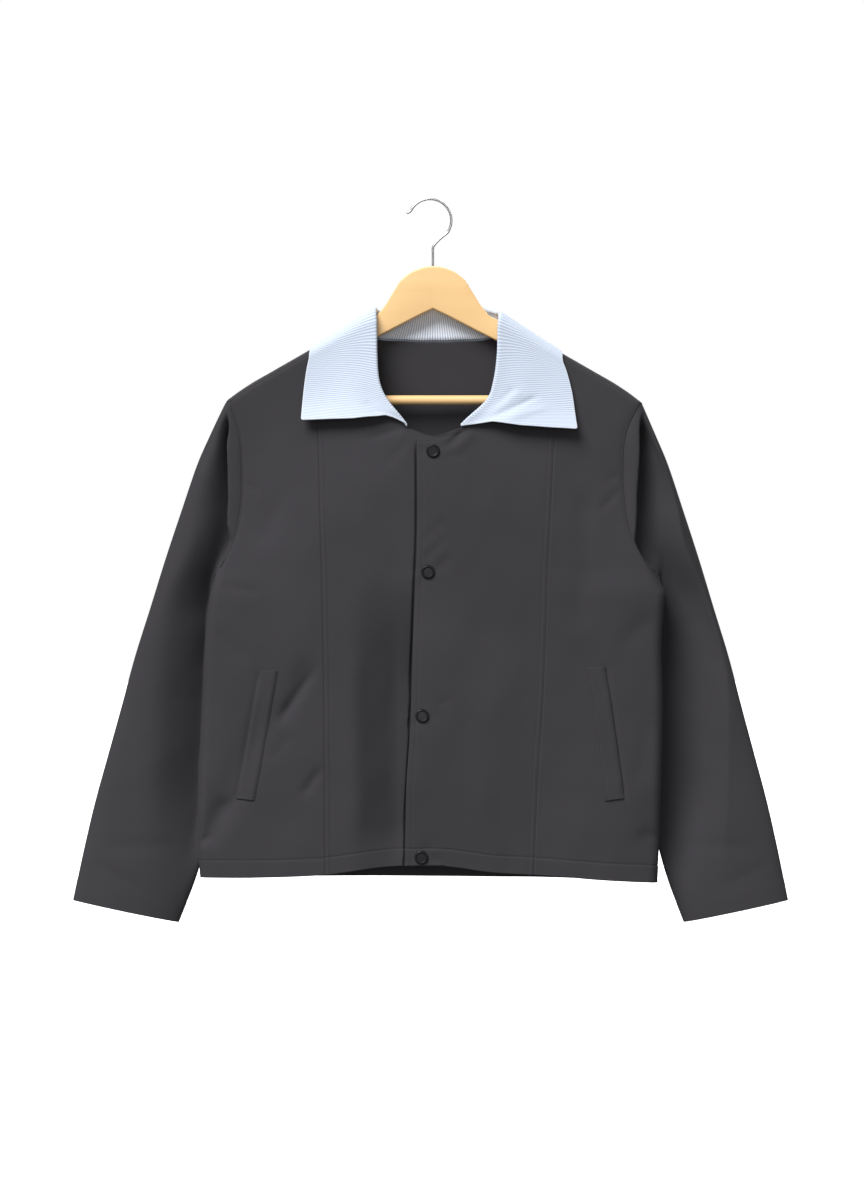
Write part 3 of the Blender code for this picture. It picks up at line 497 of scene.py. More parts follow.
# Cloth round a snap: depth and width of the dimple, height, distance and width of the wrinkles, and
# the wrinkles' waves as number round, turn from snap to snap, share
SNAP_DIMPLE = 0.55
SNAP_DIMPLE_WIDTH = 12
SNAP_WRINKLE = (0.22, 15, 8)
SNAP_WRINKLE_WAVES = ((5, 1.3, 1.0), (3, 2.0, 0.6))

# Hanger
HANGER_HALF_THICKNESS = 6.0
HANGER_CLEARANCE = 1.6
HANGER_BELOW_RIDGE = WALL + 0.3 + HANGER_CLEARANCE
HANGER_END_X = 203.0
HANGER_END_CORNER = 4.0
HANGER_DOME = [
    (0, -72.6), (10, -73.5), (17.2, -75.9), (24.6, -79.2), (30.4, -83.6), (35.4, -88), (41, -96.8),
    (46.4, -105.6), (51.8, -114.4), (55.2, -118.8),
]
HANGER_CROTCH = [(0, -119.6), (14.4, -126.4), (25.4, -132.0), (36.4, -137.7), (47.4, -143.4)]
HANGER_ARM_FROM_X = 62.0
HANGER_ARM_TO_X = 170.0
HANGER_ARM_DEPTH = 23.5
HANGER_ARM_POINTS = 9
HANGER_BAR_X = 184.0
HANGER_BAR_Z = -219.6
HANGER_BAR_RADIUS = 5.2
HANGER_BAR_HEADROOM = 1.5
HANGER_BAR_GAP = 0.3
HANGER_BAR_SIDES = 40
HANGER_BAR_POINTS = 40
HANGER_SEAT_SLOPE = 0.6
HANGER_END_Z = -229.0
HANGER_EDGE_ROUND = 2.2
HANGER_ROUND_MOST = 0.45
HANGER_CORNER_POINTS = 7
# Sections across: counts over the dome and over the arm, where the arm's end, and those at the end
HANGER_SECTIONS = (70, 50)
HANGER_SECTIONS_TO_X = 182
HANGER_END_SECTIONS = (
    183, 183.4, 183.7, 184, 184.6, 187, 191, 195, 199, 200, 201, 201.8, 202.4, 202.8, 203,
)

# Hook: wire round a circle, with a straight leg down to the stem and a tip that flares out
WIRE_RADIUS = 1.4
WIRE_SIDES = 18
HOOK_RADIUS = 23.5
HOOK_OFFSET_X = -3.3
HOOK_FROM_DEGREES = -36
HOOK_TO_DEGREES = 142
HOOK_TIP = [(-25.0, -12.0), (-29.0, -14.0)]
HOOK_LEG = [(8, -42), (2, -48.2), (0, -52.4)]
HOOK_STEM = [(0, -58.0), (0, -65.0), (0, HANGER_DOME[0][1] + 0.1)]
HOOK_TIP_STEPS = (0.02, 0.15, 0.4, 0.75, 1.1, 1.4)
HOOK_TIP_LENGTH = 2
HOOK_CROWN_POINTS = 22
HOOK_FINE_STEPS = 400
HOOK_POINTS = 220

# Surroundings: floor's height and half width in metres, lights as strength, breadth and turn in
# degrees, and the camera's distance, place and half the width that it sees, in metres
FLOOR_Z = -1.4
FLOOR_HALF = 40.0
FLOOR_WHITE = (0.95, 0.95, 0.95, 1)
LIGHTS = {
    "key": (4.1, 34, (35, -27, 0)),
    "fill": (0.3, 20, (84, 4, 0)),
    "rear": (2.8, 70, (-52, 20, 0)),
}
SURROUNDINGS_LIGHT = 0.27
CAMERA_AWAY = 4.5
CAMERA_X = -0.0011
CAMERA_Z = -0.4307
CAMERA_HALF_VIEW = 0.6512
HALF_SENSOR = 18


def curve(rows, column, x):
    """Smooth curve through a table's first column and another: cubic pieces with central slopes."""
    table = np.array(rows, float)
    table = table[np.argsort(table[:, 0])]
    xs = table[:, 0]
    ys = table[:, column]
    slopes = np.gradient(ys, xs)
    x = np.clip(x, xs[0], xs[-1])
    i = np.clip(np.searchsorted(xs, x) - 1, 0, len(xs) - 2)
    h = xs[i + 1] - xs[i]
    t = (x - xs[i]) / h
    near = ys[i] * (1 + 2 * t) * (1 - t) ** 2 + ys[i + 1] * t * t * (3 - 2 * t)
    return near + h * (slopes[i] * t * (1 - t) ** 2 - slopes[i + 1] * t * t * (1 - t))


def step(x, low, high):
    """Smooth step from 0 at low to 1 at high."""
    t = np.clip((x - low) / (high - low), 0, 1)
    return t * t * (3 - 2 * t)


def bell(x, at, width):
    """Bell curve: 1 at the place, falling to 1/e a width away."""
    return np.exp(-((x - at) / width) ** 2)


def between(x, rise, fall):
    """Smooth hump: up from 0 to 1 between the rise's two places, down to 0 between the fall's two."""
    return step(x, *rise) * (1 - step(x, *fall))


def swell(x, height, at, width):
    """A bell curve of a height at a place. A height below 0 is a dip."""
    return height * bell(x, at, width)


def unit(vectors):
    """Vectors brought to a length of one."""
    return vectors / np.linalg.norm(vectors, axis=-1, keepdims=True)


def pick(pair, hand):
    """The right side's or the left side's value of a pair. Hand is -1 on the right, 1 on the left."""
    return pair[hand > 0]


def by_side(rows, key, across):
    """A two-sided table read at key: the second column where across < 0, the third elsewhere."""
    return np.where(across < 0, curve(rows, 1, key), curve(rows, 2, key))


def shoulder(x):
    """Height of the shoulder ridge."""
    return curve(SHOULDER, 1, np.abs(x))


def drop_to_w(drop):
    """Chart distance from the ridge for a drop below it."""
    drop = np.maximum(drop, 0)
    on_ridge = RIDGE_RADIUS * np.arccos(np.clip(1 - drop / RIDGE_RADIUS, -1, 1))
    return np.where(drop < RIDGE_RADIUS, on_ridge, drop + BEND_EXTRA)


def chart(x, z, side=1):
    """Chart point of a place across and down, on the front (side 1) or the back (side -1)."""
    x, z = np.broadcast_arrays(np.asarray(x, float), np.asarray(z, float))
    return np.stack([x, side * drop_to_w(shoulder(x) - z)], axis=-1)


def along_line(x, z, x0, z0, x1, z1):
    """Distance along a line from its start, and distance off it, of places across and down."""
    length = np.hypot(x1 - x0, z1 - z0)
    along = ((x - x0) * (x1 - x0) + (z - z0) * (z1 - z0)) / length
    off = ((x - x0) * (z1 - z0) - (z - z0) * (x1 - x0)) / length
    return along, off, length


def crease(x, z, line, width, rise, fall):
    """Height of one fold: a round ridge or trough along a line, faded at both ends over shares of its
    length."""
    along, off, length = along_line(x, z, *line)
    fade = between(along, np.multiply(FOLD_RISE, length), np.multiply(fall, length))
    return rise * fade * bell(off, 0, width)


def folds(rows, x, z, side):
    """Height of a table's folds and creases, each on its own side."""
    height = np.zeros_like(x)
    for *line, width, rise, on_side in rows:
        height += np.where(side == on_side, crease(x, z, line, width, rise, FOLD_FALL), 0)
    return height


def waves(x, z, side):
    """Height of slow uneven waves: a sum of sines across and down, different on the front and back."""
    height = np.zeros_like(x)
    for across, down, rise, phase in WAVES:
        height += rise * np.sin(TURN * (across * x + down * z) * MM + phase + WAVE_SHIFT * side)
    return height


def snap_dimples(x, z, side):
    """Height of the cloth round the snaps: a shallow dimple with a few small wrinkles round it."""
    height = np.zeros_like(x)
    rise, at, width = SNAP_WRINKLE
    for number, (snap_x, snap_z) in enumerate(SNAPS):
        away = np.hypot(x - snap_x, z - snap_z)
        turn = np.arctan2(z - snap_z, x - snap_x)
        wrinkle = sum(s * np.cos(n * turn + shift * number) for n, shift, s in SNAP_WRINKLE_WAVES)
        height += rise * wrinkle * bell(away, at, width) - SNAP_DIMPLE * bell(away, 0, SNAP_DIMPLE_WIDTH)
    return np.where(side > 0, height, 0)


def pocket_mouths(x, z, side):
    """Height of the cloth behind each pocket's opening: a narrow trough along the welt's outer edge."""
    height = np.zeros_like(x)
    for corners in (WELT_RIGHT, WELT_LEFT):
        along, off, length = along_line(x, z, *corners[1], *corners[2])
        end = (length - MOUTH_FULL_IN, length + MOUTH_PAST_END)
        within = between(along, (-MOUTH_PAST_END, MOUTH_FULL_IN), end)
        height -= MOUTH_DEPTH * within * bell(off, 0, MOUTH_WIDTH)
    return np.where(side > 0, height, 0)


def side_forward(x, z):
    """How far the jacket's sides swing forward below the armholes."""
    return SIDE_FORWARD * step(np.abs(x), *SIDE_FORWARD_X) * step(-z, *SIDE_FORWARD_BELOW)


def surface(a, w):
    """Outer face of the cloth at chart points: a ridge over the hanger, full fronts, round sides,
    with the folds, waves and dimples added square to it."""
    side = np.where(w >= 0, 1, -1)
    turn = np.clip(np.abs(w) / RIDGE_RADIUS, 0, np.pi / 2)
    drop = RIDGE_RADIUS * (1 - np.cos(turn)) + np.maximum(np.abs(w) - RIDGE_RADIUS * np.pi / 2, 0)
    half = by_side(SIDE, shoulder(a) - drop, a)
    over = np.maximum(np.abs(a) - (half - RIDGE_RADIUS), 0) / RIDGE_RADIUS
    flat = np.minimum(np.abs(a), half - RIDGE_RADIUS)
    x = np.sign(a) * (flat + RIDGE_RADIUS * np.sin(over))
    z = shoulder(x) - drop
    middle = np.clip(1 - (x / half) ** 2, 0, 1)
    front = CHEST_FULLNESS * step(drop, 0, CHEST_DROP)
    back = BACK_FULLNESS * step(drop, 0, BACK_DROP)
    relief = folds(FOLDS, x, z, side) + waves(x, z, side) + snap_dimples(x, z, side)
    relief += pocket_mouths(x, z, side)
    relief = relief * step(drop, *FOLDS_FROM_DROP) * np.cos(np.minimum(over, np.pi / 2))
    fullness = np.where(side > 0, front, back) * middle
    depth = RIDGE_RADIUS * np.sin(turn) * np.cos(over) + fullness + relief
    return np.stack([x, -side_forward(x, z) - side * depth, z], axis=-1)


def cloth(points, lift=0.0):
    """Chart points laid on the cloth, lift above its outer face."""
    a, w = points[..., 0], points[..., 1]
    across = surface(a + NORMAL_STEP, w) - surface(a - NORMAL_STEP, w)
    down = surface(a, w + NORMAL_STEP) - surface(a, w - NORMAL_STEP)
    return surface(a, w) + unit(np.cross(down, across)) * np.asarray(lift)[..., None]


def fractions(points):
    """Fraction of a polyline's length at each of its points."""
    lengths = np.linalg.norm(np.diff(points, axis=0), axis=1)
    return np.concatenate([[0], np.cumsum(lengths)]) / np.sum(lengths)


def path_length(points):
    """Length of a polyline."""
    return np.sum(np.linalg.norm(np.diff(points, axis=0), axis=1))


def resample(points, t):
    """Points at the fractions t of a polyline's length."""
    points = np.asarray(points, float)
    along = fractions(points)
    return np.stack([np.interp(t, along, points[:, k]) for k in range(points.shape[1])], axis=-1)


def edge_normal(points):
    """Unit vectors square to a chart curve, to the right of its direction."""
    direction = unit(np.gradient(points, axis=0))
    return np.stack([direction[:, 1], -direction[:, 0]], axis=-1)


def along_stations(values, u):
    """Smooth curve through one value per station, read at station numbers u."""
    values = np.asarray(values, float).reshape(len(values), -1)
    table = np.column_stack([np.arange(len(values)), values])
    return np.stack([curve(table, k + 1, u) for k in range(values.shape[1])], axis=-1)


def fine_curve(stations, count=FINE_STEPS):
    """Smooth curve through stations, as a fine line of a number of points."""
    return along_stations(stations, np.linspace(0, len(stations) - 1, count))


def spread(length, near, far, pitch):
    """Distances along a length: the near ones from its start, the far ones from its end, and even
    steps of about the pitch between. Length may be an array, one row of distances for each."""
    length = np.atleast_1d(np.asarray(length, float))[:, None]
    start = np.broadcast_to(np.asarray(near, float), (len(length), len(near)))
    end = length - np.asarray(far, float)[::-1]
    count = max(int(np.max(end[:, 0] - start[:, -1]) / pitch), 2)
    t = np.linspace(0, 1, count + 1)[1:-1]
    middle = start[:, -1:] + (end[:, :1] - start[:, -1:]) * t
    return np.concatenate([start, middle, end], axis=1)


def collar_rows():
    """Collar stations from the right tip round the back to the left tip, as chart points:
    neck seam, roll line, roll height and outer edge."""
    neck, roll, lift, edge = [], [], [], []
    stations = [(row, -1) for row in COLLAR] + [(row, 1) for row in COLLAR[-2::-1]]
    for row, hand in stations:
        side, rise = row[0], row[7]
        neck_x, neck_z = hand * pick(row[1:3], hand), row[3]
        roll_x, roll_z = hand * pick(row[4:6], hand), row[6]
        edge_x, edge_z = pick((row[8:10], row[10:12]), hand)
        edge_x = hand * edge_x
        if side == 0:
            neck_z, roll_z, edge_z = shoulder(neck_x), shoulder(roll_x), shoulder(edge_x)
        neck.append(chart(neck_x, neck_z, side))
        roll.append(chart(roll_x, roll_z, side))
        edge.append(chart(edge_x, edge_z, side))
        lift.append(rise)
    return np.array(neck), np.array(roll), np.array(lift), np.array(edge)


def neckline():
    """Edge of the panels round the neck as a fine chart curve, a little outside the collar's seam."""
    seam = fine_curve(collar_rows()[0])
    return seam + NECK_CLEARANCE * edge_normal(seam)


def side_seam(hand, z):
    """Chart point of the side seam at a height: the outermost point of the round side."""
    half = by_side(SIDE, z, hand)
    return np.stack([hand * (half + BEND_EXTRA), chart(hand * half, z)[..., 1]], axis=-1)


def armhole(hand):
    """Armhole edge on the front from the shoulder point to the armpit, as a fine chart curve."""
    top = pick(SHOULDER_POINT, hand)
    points = [chart(hand * top, shoulder(top))]
    points += [chart(hand * pick(row[1:], hand), row[0]) for row in ARMHOLE]
    points += [side_seam(hand, pick(ARMPIT_Z, hand))]
    return fine_curve(points)


def hem_z(x, side):
    """Height of the hem in front (side 1) or at the back (side -1)."""
    return curve(HEM, 1 if side > 0 else 2, x)


def hem_w(a, side):
    """Chart distance of the hem from the ridge, at a place across."""
    half = by_side(SIDE, SIDE[-1][0], a)
    x = np.clip(a, -half, half)
    return np.abs(chart(x, hem_z(x, side), side)[..., 1])


def hem_line(first, last, count, side=1):
    """Row of stitches along the hem from one place across to another, as chart points."""
    a = np.linspace(first, last, count)
    return np.stack([a, side * (hem_w(a, side) - HEM_ROW)], axis=-1)


def outer_edge(hand, side):
    """Armhole and side seam of a panel from its shoulder seam to its hem, as chart curves."""
    edge = armhole(hand)
    first = [np.interp(SHOULDER_SEAM, edge[:, 1], edge[:, 0]), SHOULDER_SEAM]
    if side > 0:
        upper = np.concatenate([[first], edge[edge[:, 1] > SHOULDER_SEAM]])
    else:
        over = edge[edge[:, 1] < SHOULDER_SEAM]
        upper = np.concatenate([[first], over[:0:-1], edge * [1, -1]])
    half = by_side(SIDE, SIDE[-1][0], hand)
    z = np.linspace(pick(ARMPIT_Z, hand), hem_z(hand * half, 1), FINE_STEPS)[1:]
    lower = side_seam(hand, z) * [1, side]
    return upper - [hand * SEAM, 0], lower - [hand * SEAM, 0]


def princess_edge(hand):
    """Princess seam from the shoulder seam to the hem, as a fine chart curve on the front."""
    z_fine = np.linspace(PRINCESS[0][0], PRINCESS[-1][0], FINE_STEPS)
    fine = chart(hand * by_side(PRINCESS, z_fine, hand), z_fine)
    last = hem_w(fine[-1, 0], 1)
    fine = fine[(fine[:, 1] > SHOULDER_SEAM) & (fine[:, 1] < last)]
    first = [np.interp(SHOULDER_SEAM, fine[:, 1], fine[:, 0]), SHOULDER_SEAM]
    return np.concatenate([[first], fine, [[fine[-1, 0], last]]])


def patch(left, right, off_left, v, side):
    """Chart points of a panel: straight rows between its left and right edges, at the distances from
    the left one, with the hem's own curve worked in towards the last row."""
    width = np.linalg.norm(right - left, axis=1)[:, None]
    u = (off_left / width)[..., None]
    points = (1 - u) * left[:, None] + u * right[:, None]
    fraction = np.linspace(0, 1, HEM_BEND_STEPS)
    straight = (1 - fraction)[:, None] * left[-1] + fraction[:, None] * right[-1]
    bend = side * hem_w(straight[:, 0], side) - straight[:, 1]
    points[..., 1] += v[:, None] * np.interp(u[..., 0], fraction, bend)
    return points


def add_mesh(name, points, faces, finish, uv=None, values=None):
    """A piece from points in millimetres and faces, turned outward and smooth. The uv map weave has
    one place in millimetres for each point, and values are named numbers for each point."""
    mesh = bpy.data.meshes.new(name)
    mesh.from_pydata((points * MM).tolist(), [], faces)
    work = bmesh.new()
    work.from_mesh(mesh)
    bmesh.ops.recalc_face_normals(work, faces=work.faces)
    work.to_mesh(mesh)
    work.free()
    mesh.shade_smooth()
    if uv is not None:
        corner = np.empty(len(mesh.loops), int)
        mesh.loops.foreach_get("vertex_index", corner)
        layer = mesh.uv_layers.new(name="weave")
        layer.data.foreach_set("uv", (uv[corner] * MM).astype(np.float32).ravel())
    for key, numbers in (values or {}).items():
        attribute = mesh.attributes.new(key, "FLOAT", "POINT")
        attribute.data.foreach_set("value", numbers.astype(np.float32).ravel())
    mesh.materials.append(finish)
    piece = bpy.data.objects.new(name, mesh)
    bpy.context.scene.collection.objects.link(piece)
    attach(piece, "root")
    return piece


def grid_quads(rows, columns, closed=False):
    """Corner numbers of the cells of a grid of points; with closed, the last column meets the first."""
    index = np.arange(rows * columns).reshape(rows, columns)
    if closed:
        index = np.concatenate([index, index[:, :1]], axis=1)
    return np.stack([index[:-1, :-1], index[1:, :-1], index[1:, 1:], index[:-1, 1:]], axis=-1)


def shell(name, outer, inner, finish, uv, closed=False, cells=None, values=None):
    """A cloth wall: two grids of points as its faces, joined round their rim. With closed, the last
    column meets the first, and the wall is a tube. Cells says which of the grid's cells are cloth."""
    rows, columns = outer.shape[:2]
    quads = grid_quads(rows, columns, closed)
    quads = quads.reshape(-1, 4) if cells is None else quads[cells]
    edges = np.stack([quads, np.roll(quads, -1, axis=1)], axis=-1).reshape(-1, 2)
    code = edges.min(axis=1) * rows * columns + edges.max(axis=1)
    first, count = np.unique(code, return_index=True, return_counts=True)[1:]
    rim = edges[first[count == 1]]
    inside = rows * columns
    walls = np.concatenate([rim[:, ::-1], rim + inside], axis=1)
    faces = np.concatenate([quads, quads[:, ::-1] + inside, walls])
    points = np.concatenate([outer.reshape(-1, 3), inner.reshape(-1, 3)])
    used = np.unique(faces)
    both = np.concatenate([uv.reshape(-1, 2)] * 2)[used]
    numbers = {key: np.concatenate([value.ravel()] * 2)[used] for key, value in (values or {}).items()}
    return add_mesh(name, points[used], np.searchsorted(used, faces).tolist(), finish, both, numbers)


def rounded(distance, half):
    """Half thickness of a wall that ends in a round edge, at a distance from that edge."""
    t = np.clip(distance / (EDGE_REACH * half), 0, 1)
    return half * (EDGE_LEAST + (1 - EDGE_LEAST) * np.sqrt(1 - (1 - t) ** 2))


def seam_dip(distance):
    """Dip of the cloth beside a seam, with a small swell next to it."""
    return swell(distance, *SEAM_DIP) + swell(distance, *SEAM_SWELL)


def armhole_dip(distance):
    """Dip of the cloth beside the armhole's seam: a seam's own dip in a wider one."""
    return seam_dip(distance) + swell(distance, *ARMHOLE_DIP)


def stitch_dip(distance, row):
    """Dip of the cloth under a row of stitches."""
    return swell(distance, STITCH_DIP, row, STITCH_DIP_WIDTH)


def hem_form(distance):
    """Swell of a turned hem below its stitches, and the dip under them."""
    return HEM_SWELL * (1 - step(distance, *HEM_SWELL_TO)) + swell(distance, *HEM_DIP)


def cloth_wall(points, middle, half):
    """The two faces of a wall half thick each way from a middle height above the cloth's outer face."""
    return cloth(points, middle + half), cloth(points, middle - half)


def flat_size(points):
    """Width, length and area in metres of a panel's cut, from its chart points."""
    size = (points.reshape(-1, 2).max(axis=0) - points.reshape(-1, 2).min(axis=0)) * MM
    ring = np.concatenate([points[0], points[1:, -1], points[-1, -2::-1], points[-2::-1, 0]]) * MM
    across, along = ring.T
    area = 0.5 * abs(np.dot(across, np.roll(along, -1)) - np.dot(along, np.roll(across, -1)))
    return size, area


def stitches(name, paths):
    """Rows of thread stitches as one mesh. Each stitch is a short four-sided bar along its row, thick in
    the middle and thin at its ends. Paths are fine lines of points in millimetres, each with normals."""
    reach = np.multiply(STITCH_PLACES, STITCH_LENGTH)[:, None, None, None]
    girth = np.multiply(STITCH_GIRTHS, STITCH_RADIUS)[:, None, None, None]
    turn = np.radians(STITCH_CORNERS)[:, None, None]
    blocks = []
    for points, normals in paths:
        count = int(path_length(points) / STITCH_PITCH)
        t = (np.arange(count) + 0.5) / count
        centre = resample(points, t)
        along = fractions(points)
        up = np.stack([np.interp(t, along, normals[:, k]) for k in range(3)], axis=-1)
        after = resample(points, np.minimum(t + 0.5 / count, 1))
        before = resample(points, np.maximum(t - 0.5 / count, 0))
        ahead = unit(after - before)
        ring = np.cos(turn) * np.cross(ahead, up) + np.sin(turn) * up * STITCH_FLATNESS
        bars = centre + ahead * reach + ring * girth
        blocks.append(np.moveaxis(bars, 2, 0).reshape(-1, 3))
    points = np.concatenate(blocks)
    rings, corners = len(reach), len(turn)
    size = rings * corners
    sides = grid_quads(rings, corners, closed=True).reshape(-1, corners)
    ends = np.array([np.arange(corners)[::-1], np.arange(size - corners, size)])
    one = np.concatenate([sides, ends])
    faces = (one[None] + size * np.arange(len(points) // size)[:, None, None]).reshape(-1, corners)
    return add_mesh(name, points, faces.tolist(), THREAD)


def row_on_cloth(points, lift):
    """A row of chart points laid on the cloth at a height, with the cloth's normals there."""
    low = cloth(points, lift)
    high = cloth(points, lift + 1.0)
    return low, high - low


def front_inner_edge(hand):
    """Inner edge of a centre front as chart curves: the neckline down to the collar's tip, its low part
    from the front edge's corner up to that tip, and the front edge."""
    edge = neckline()[::hand]
    front = edge[(edge[:, 0] * hand > 0) & (edge[:, 1] > SHOULDER_SEAM)]
    front = front[np.argsort(front[:, 1])]
    neck = np.concatenate([[[front[0, 0], SHOULDER_SEAM]], front])
    places = pick((NECK_LOW_UNDER, NECK_LOW_UPPER), hand)
    low = fine_curve([chart(*place) for place in places[::-1]] + [front[-1]], NECK_LOW_COUNT)
    x_low = pick((UNDERLAP_X, FRONT_EDGE[-1][1]), hand)
    z_edge = np.linspace(places[-1][1], hem_z(x_low, 1), FINE_STEPS)
    x_edge = curve(FRONT_EDGE, 1, z_edge) if hand > 0 else np.full_like(z_edge, UNDERLAP_X)
    return neck, low, chart(x_edge, z_edge)


def front_lift(points, hand):
    """How far a centre front lies above the body's own form. The upper one flares forward at its edge in
    the lower part. The under one steps down where it goes under, with a groove along the upper one's
    edge, and falls towards it in a broad hollow in the lower part."""
    a, w = points[..., 0], points[..., 1]
    low = w - shoulder(a)
    if hand > 0:
        ease = 1 - FRONT_FLARE_EASE * step(low, *FRONT_FLARE_EASES_BELOW)
        return FRONT_FLARE * step(low, *FRONT_FLARE_BELOW) * ease * (1 - step(a, *FRONT_FLARE_AT))
    hollow = UNDERLAP_HOLLOW * step(a, *UNDERLAP_HOLLOW_AT) * step(low, *UNDERLAP_HOLLOW_BELOW)
    off_edge = a - curve(FRONT_EDGE, 1, -low)
    groove = step(off_edge, *UNDERLAP_GROOVE_OFF) * step(low, *UNDERLAP_GROOVE_BELOW)
    sink = UNDERLAP_SINK * step(a, *UNDERLAP_SINKS_AT) + UNDERLAP_GROOVE * groove
    return -sink - hollow * (1 - UNDERLAP_HOLLOW_EASE * step(low, *UNDERLAP_HOLLOW_EASES_BELOW))


def front_rows(hand, seam, low, below, hem_from, hem_to):
    """Rows of stitches on a centre front, as chart curves: beside the princess seam, along the hem, along
    the upper front's edge, along the neckline, and across the hem at the facing's end."""
    rows = [seam - [hand * row, 0] for row in PRINCESS_ROWS]
    rows = [row[row[:, 1] > SHOULDER_SEAM + PRINCESS_ROW_BELOW] for row in rows]
    hem = hem_line(hem_from + hand * 2, hem_to - hand * 1, FRONT_HEM_POINTS)
    if hand > 0:
        rows += [hem, below[FRONT_EDGE_ROW_START:] + [FRONT_EDGE_ROW, 0]]
    else:
        rows += [hem[hem[:, 0] < HEM_ROW_RIGHT_TO]]
    along = np.linspace(pick(NECK_ROW_FROM, hand), NECK_ROW_TO, NECK_ROW_POINTS)
    rows += [resample(low, along) + [0, row] for row in NECK_ROWS]
    a_end = np.full(FACING_ROW_POINTS, pick(FACING_ENDS, hand))
    off_hem = np.linspace(HEM_ROW, FACING_ROW_OFF_HEM, FACING_ROW_POINTS)
    return rows + [np.stack([a_end, hem_w(a_end, 1) - off_hem], axis=-1)]


def front_centre(side_name, hand):
    """Centre front: neckline and front edge on the inside, princess seam on the outside. Above the
    collar's tip the grid holds only the part beside the neck."""
    name = f"front_centre_{side_name}"
    neck, low, below = front_inner_edge(hand)
    seam = princess_edge(hand) - [hand * SEAM, 0]
    corner, tip = low[0], low[-1]
    at_tip = 1 - path_length(below) / path_length(seam)
    fine = np.linspace(0, 1, FINE_STEPS)
    seam_high = resample(seam, at_tip * fine)
    seam_low = resample(seam, at_tip + (1 - at_tip) * fine)

    pitch = pick((UNDERLAP_PITCH, PITCH), hand)
    to_tip = spread(abs(tip[0] - corner[0]), FRONT_EDGE_STEPS, TIP_STEPS, pitch)[0]
    past_tip = pick((UNDERLAP_STEPS, TIP_STEPS), hand)
    beside = spread(abs(seam_low[0, 0] - tip[0]), past_tip, PRINCESS_STEPS, PITCH)[0]
    off = np.concatenate([to_tip, to_tip[-1] + beside[1:]])
    u, u_high = off / off[-1], beside / beside[-1]
    on_neck = off <= to_tip[-1]
    top = np.interp(off, hand * (low[:, 0] - corner[0]), low[:, 1])
    top += np.where(on_neck, 0, (seam_low[0, 1] - tip[1]) * (off - to_tip[-1]) / beside[-1])

    v = spread(path_length(seam_low), NECK_STEPS, HEM_STEPS, PITCH)[0] / path_length(seam_low)
    left, right = resample(below, v), resample(seam_low, v)
    width = np.linalg.norm(right - left, axis=1)[:, None]
    lower = patch(left, right, u * width, v, 1)
    lower[..., 1] += ((1 - v) ** 3)[:, None] * (top - lower[0, :, 1])
    v_high = spread(path_length(neck), SEAM_STEPS, (0, 2.0), PITCH)[0][:-1] / path_length(neck)
    inner, outer = resample(neck, v_high)[:, None], resample(seam_high, v_high)[:, None]
    upper = inner + (outer - inner) * u_high[:, None]
    gap = np.zeros((len(upper), len(to_tip) - 1, 2))
    points = np.concatenate([np.concatenate([gap, upper], axis=1), lower])
    cells = np.ones((len(points) - 1, len(off) - 1), bool)
    cells[:len(upper), :len(to_tip) - 1] = False

    away = np.full((len(upper), len(off)), FAR)
    seam_away = np.linalg.norm(outer - inner, axis=-1) * (1 - u_high)
    off_edge = np.concatenate([away, u * width])
    off_neck = np.concatenate([away, np.where(on_neck, lower[..., 1] - top, FAR)])
    off_hem = np.concatenate([away, hem_w(lower[..., 0], 1) - lower[..., 1]])
    off_seam = np.concatenate([np.concatenate([gap[..., 0], seam_away], axis=1), (1 - u) * width])
    off_shoulder = points[..., 1] - SHOULDER_SEAM
    open_edge = np.minimum(np.minimum(off_edge, off_neck), off_hem)
    facing = FACING_HALF * (1 - step(off_edge, *FACING_REACH)) * step(open_edge, 0, 2)
    half = rounded(open_edge, WALL / 2) + facing
    middle = front_lift(points, hand) - WALL / 2 + hem_form(off_hem)
    beside_seam = seam_dip(off_seam) + SHOULDER_DIP_SHARE * seam_dip(off_shoulder)
    middle += beside_seam + swell(off_seam, *PRINCESS_SWELL)
    sewn = [(off_seam, row) for row in PRINCESS_ROWS] + [(off_edge, FRONT_EDGE_ROW)]
    for distance, row in sewn + [(off_neck, row) for row in NECK_ROWS]:
        middle += stitch_dip(distance, row)
    piece = shell(f"{name}_cloth", *cloth_wall(points, middle, half), CHARCOAL, points, cells=cells)

    rows = front_rows(hand, seam, low, below, left[-1, 0], right[-1, 0])
    paths = [row_on_cloth(row, front_lift(row, hand) - STITCH_SINK) for row in rows]
    used = np.concatenate([upper.reshape(-1, 2), lower.reshape(-1, 2)])
    thread = stitches(f"{name}_stitches", paths)
    declare(piece, name, np.ptp(used, axis=0) * MM, mesh_area(piece) / 2, thread)


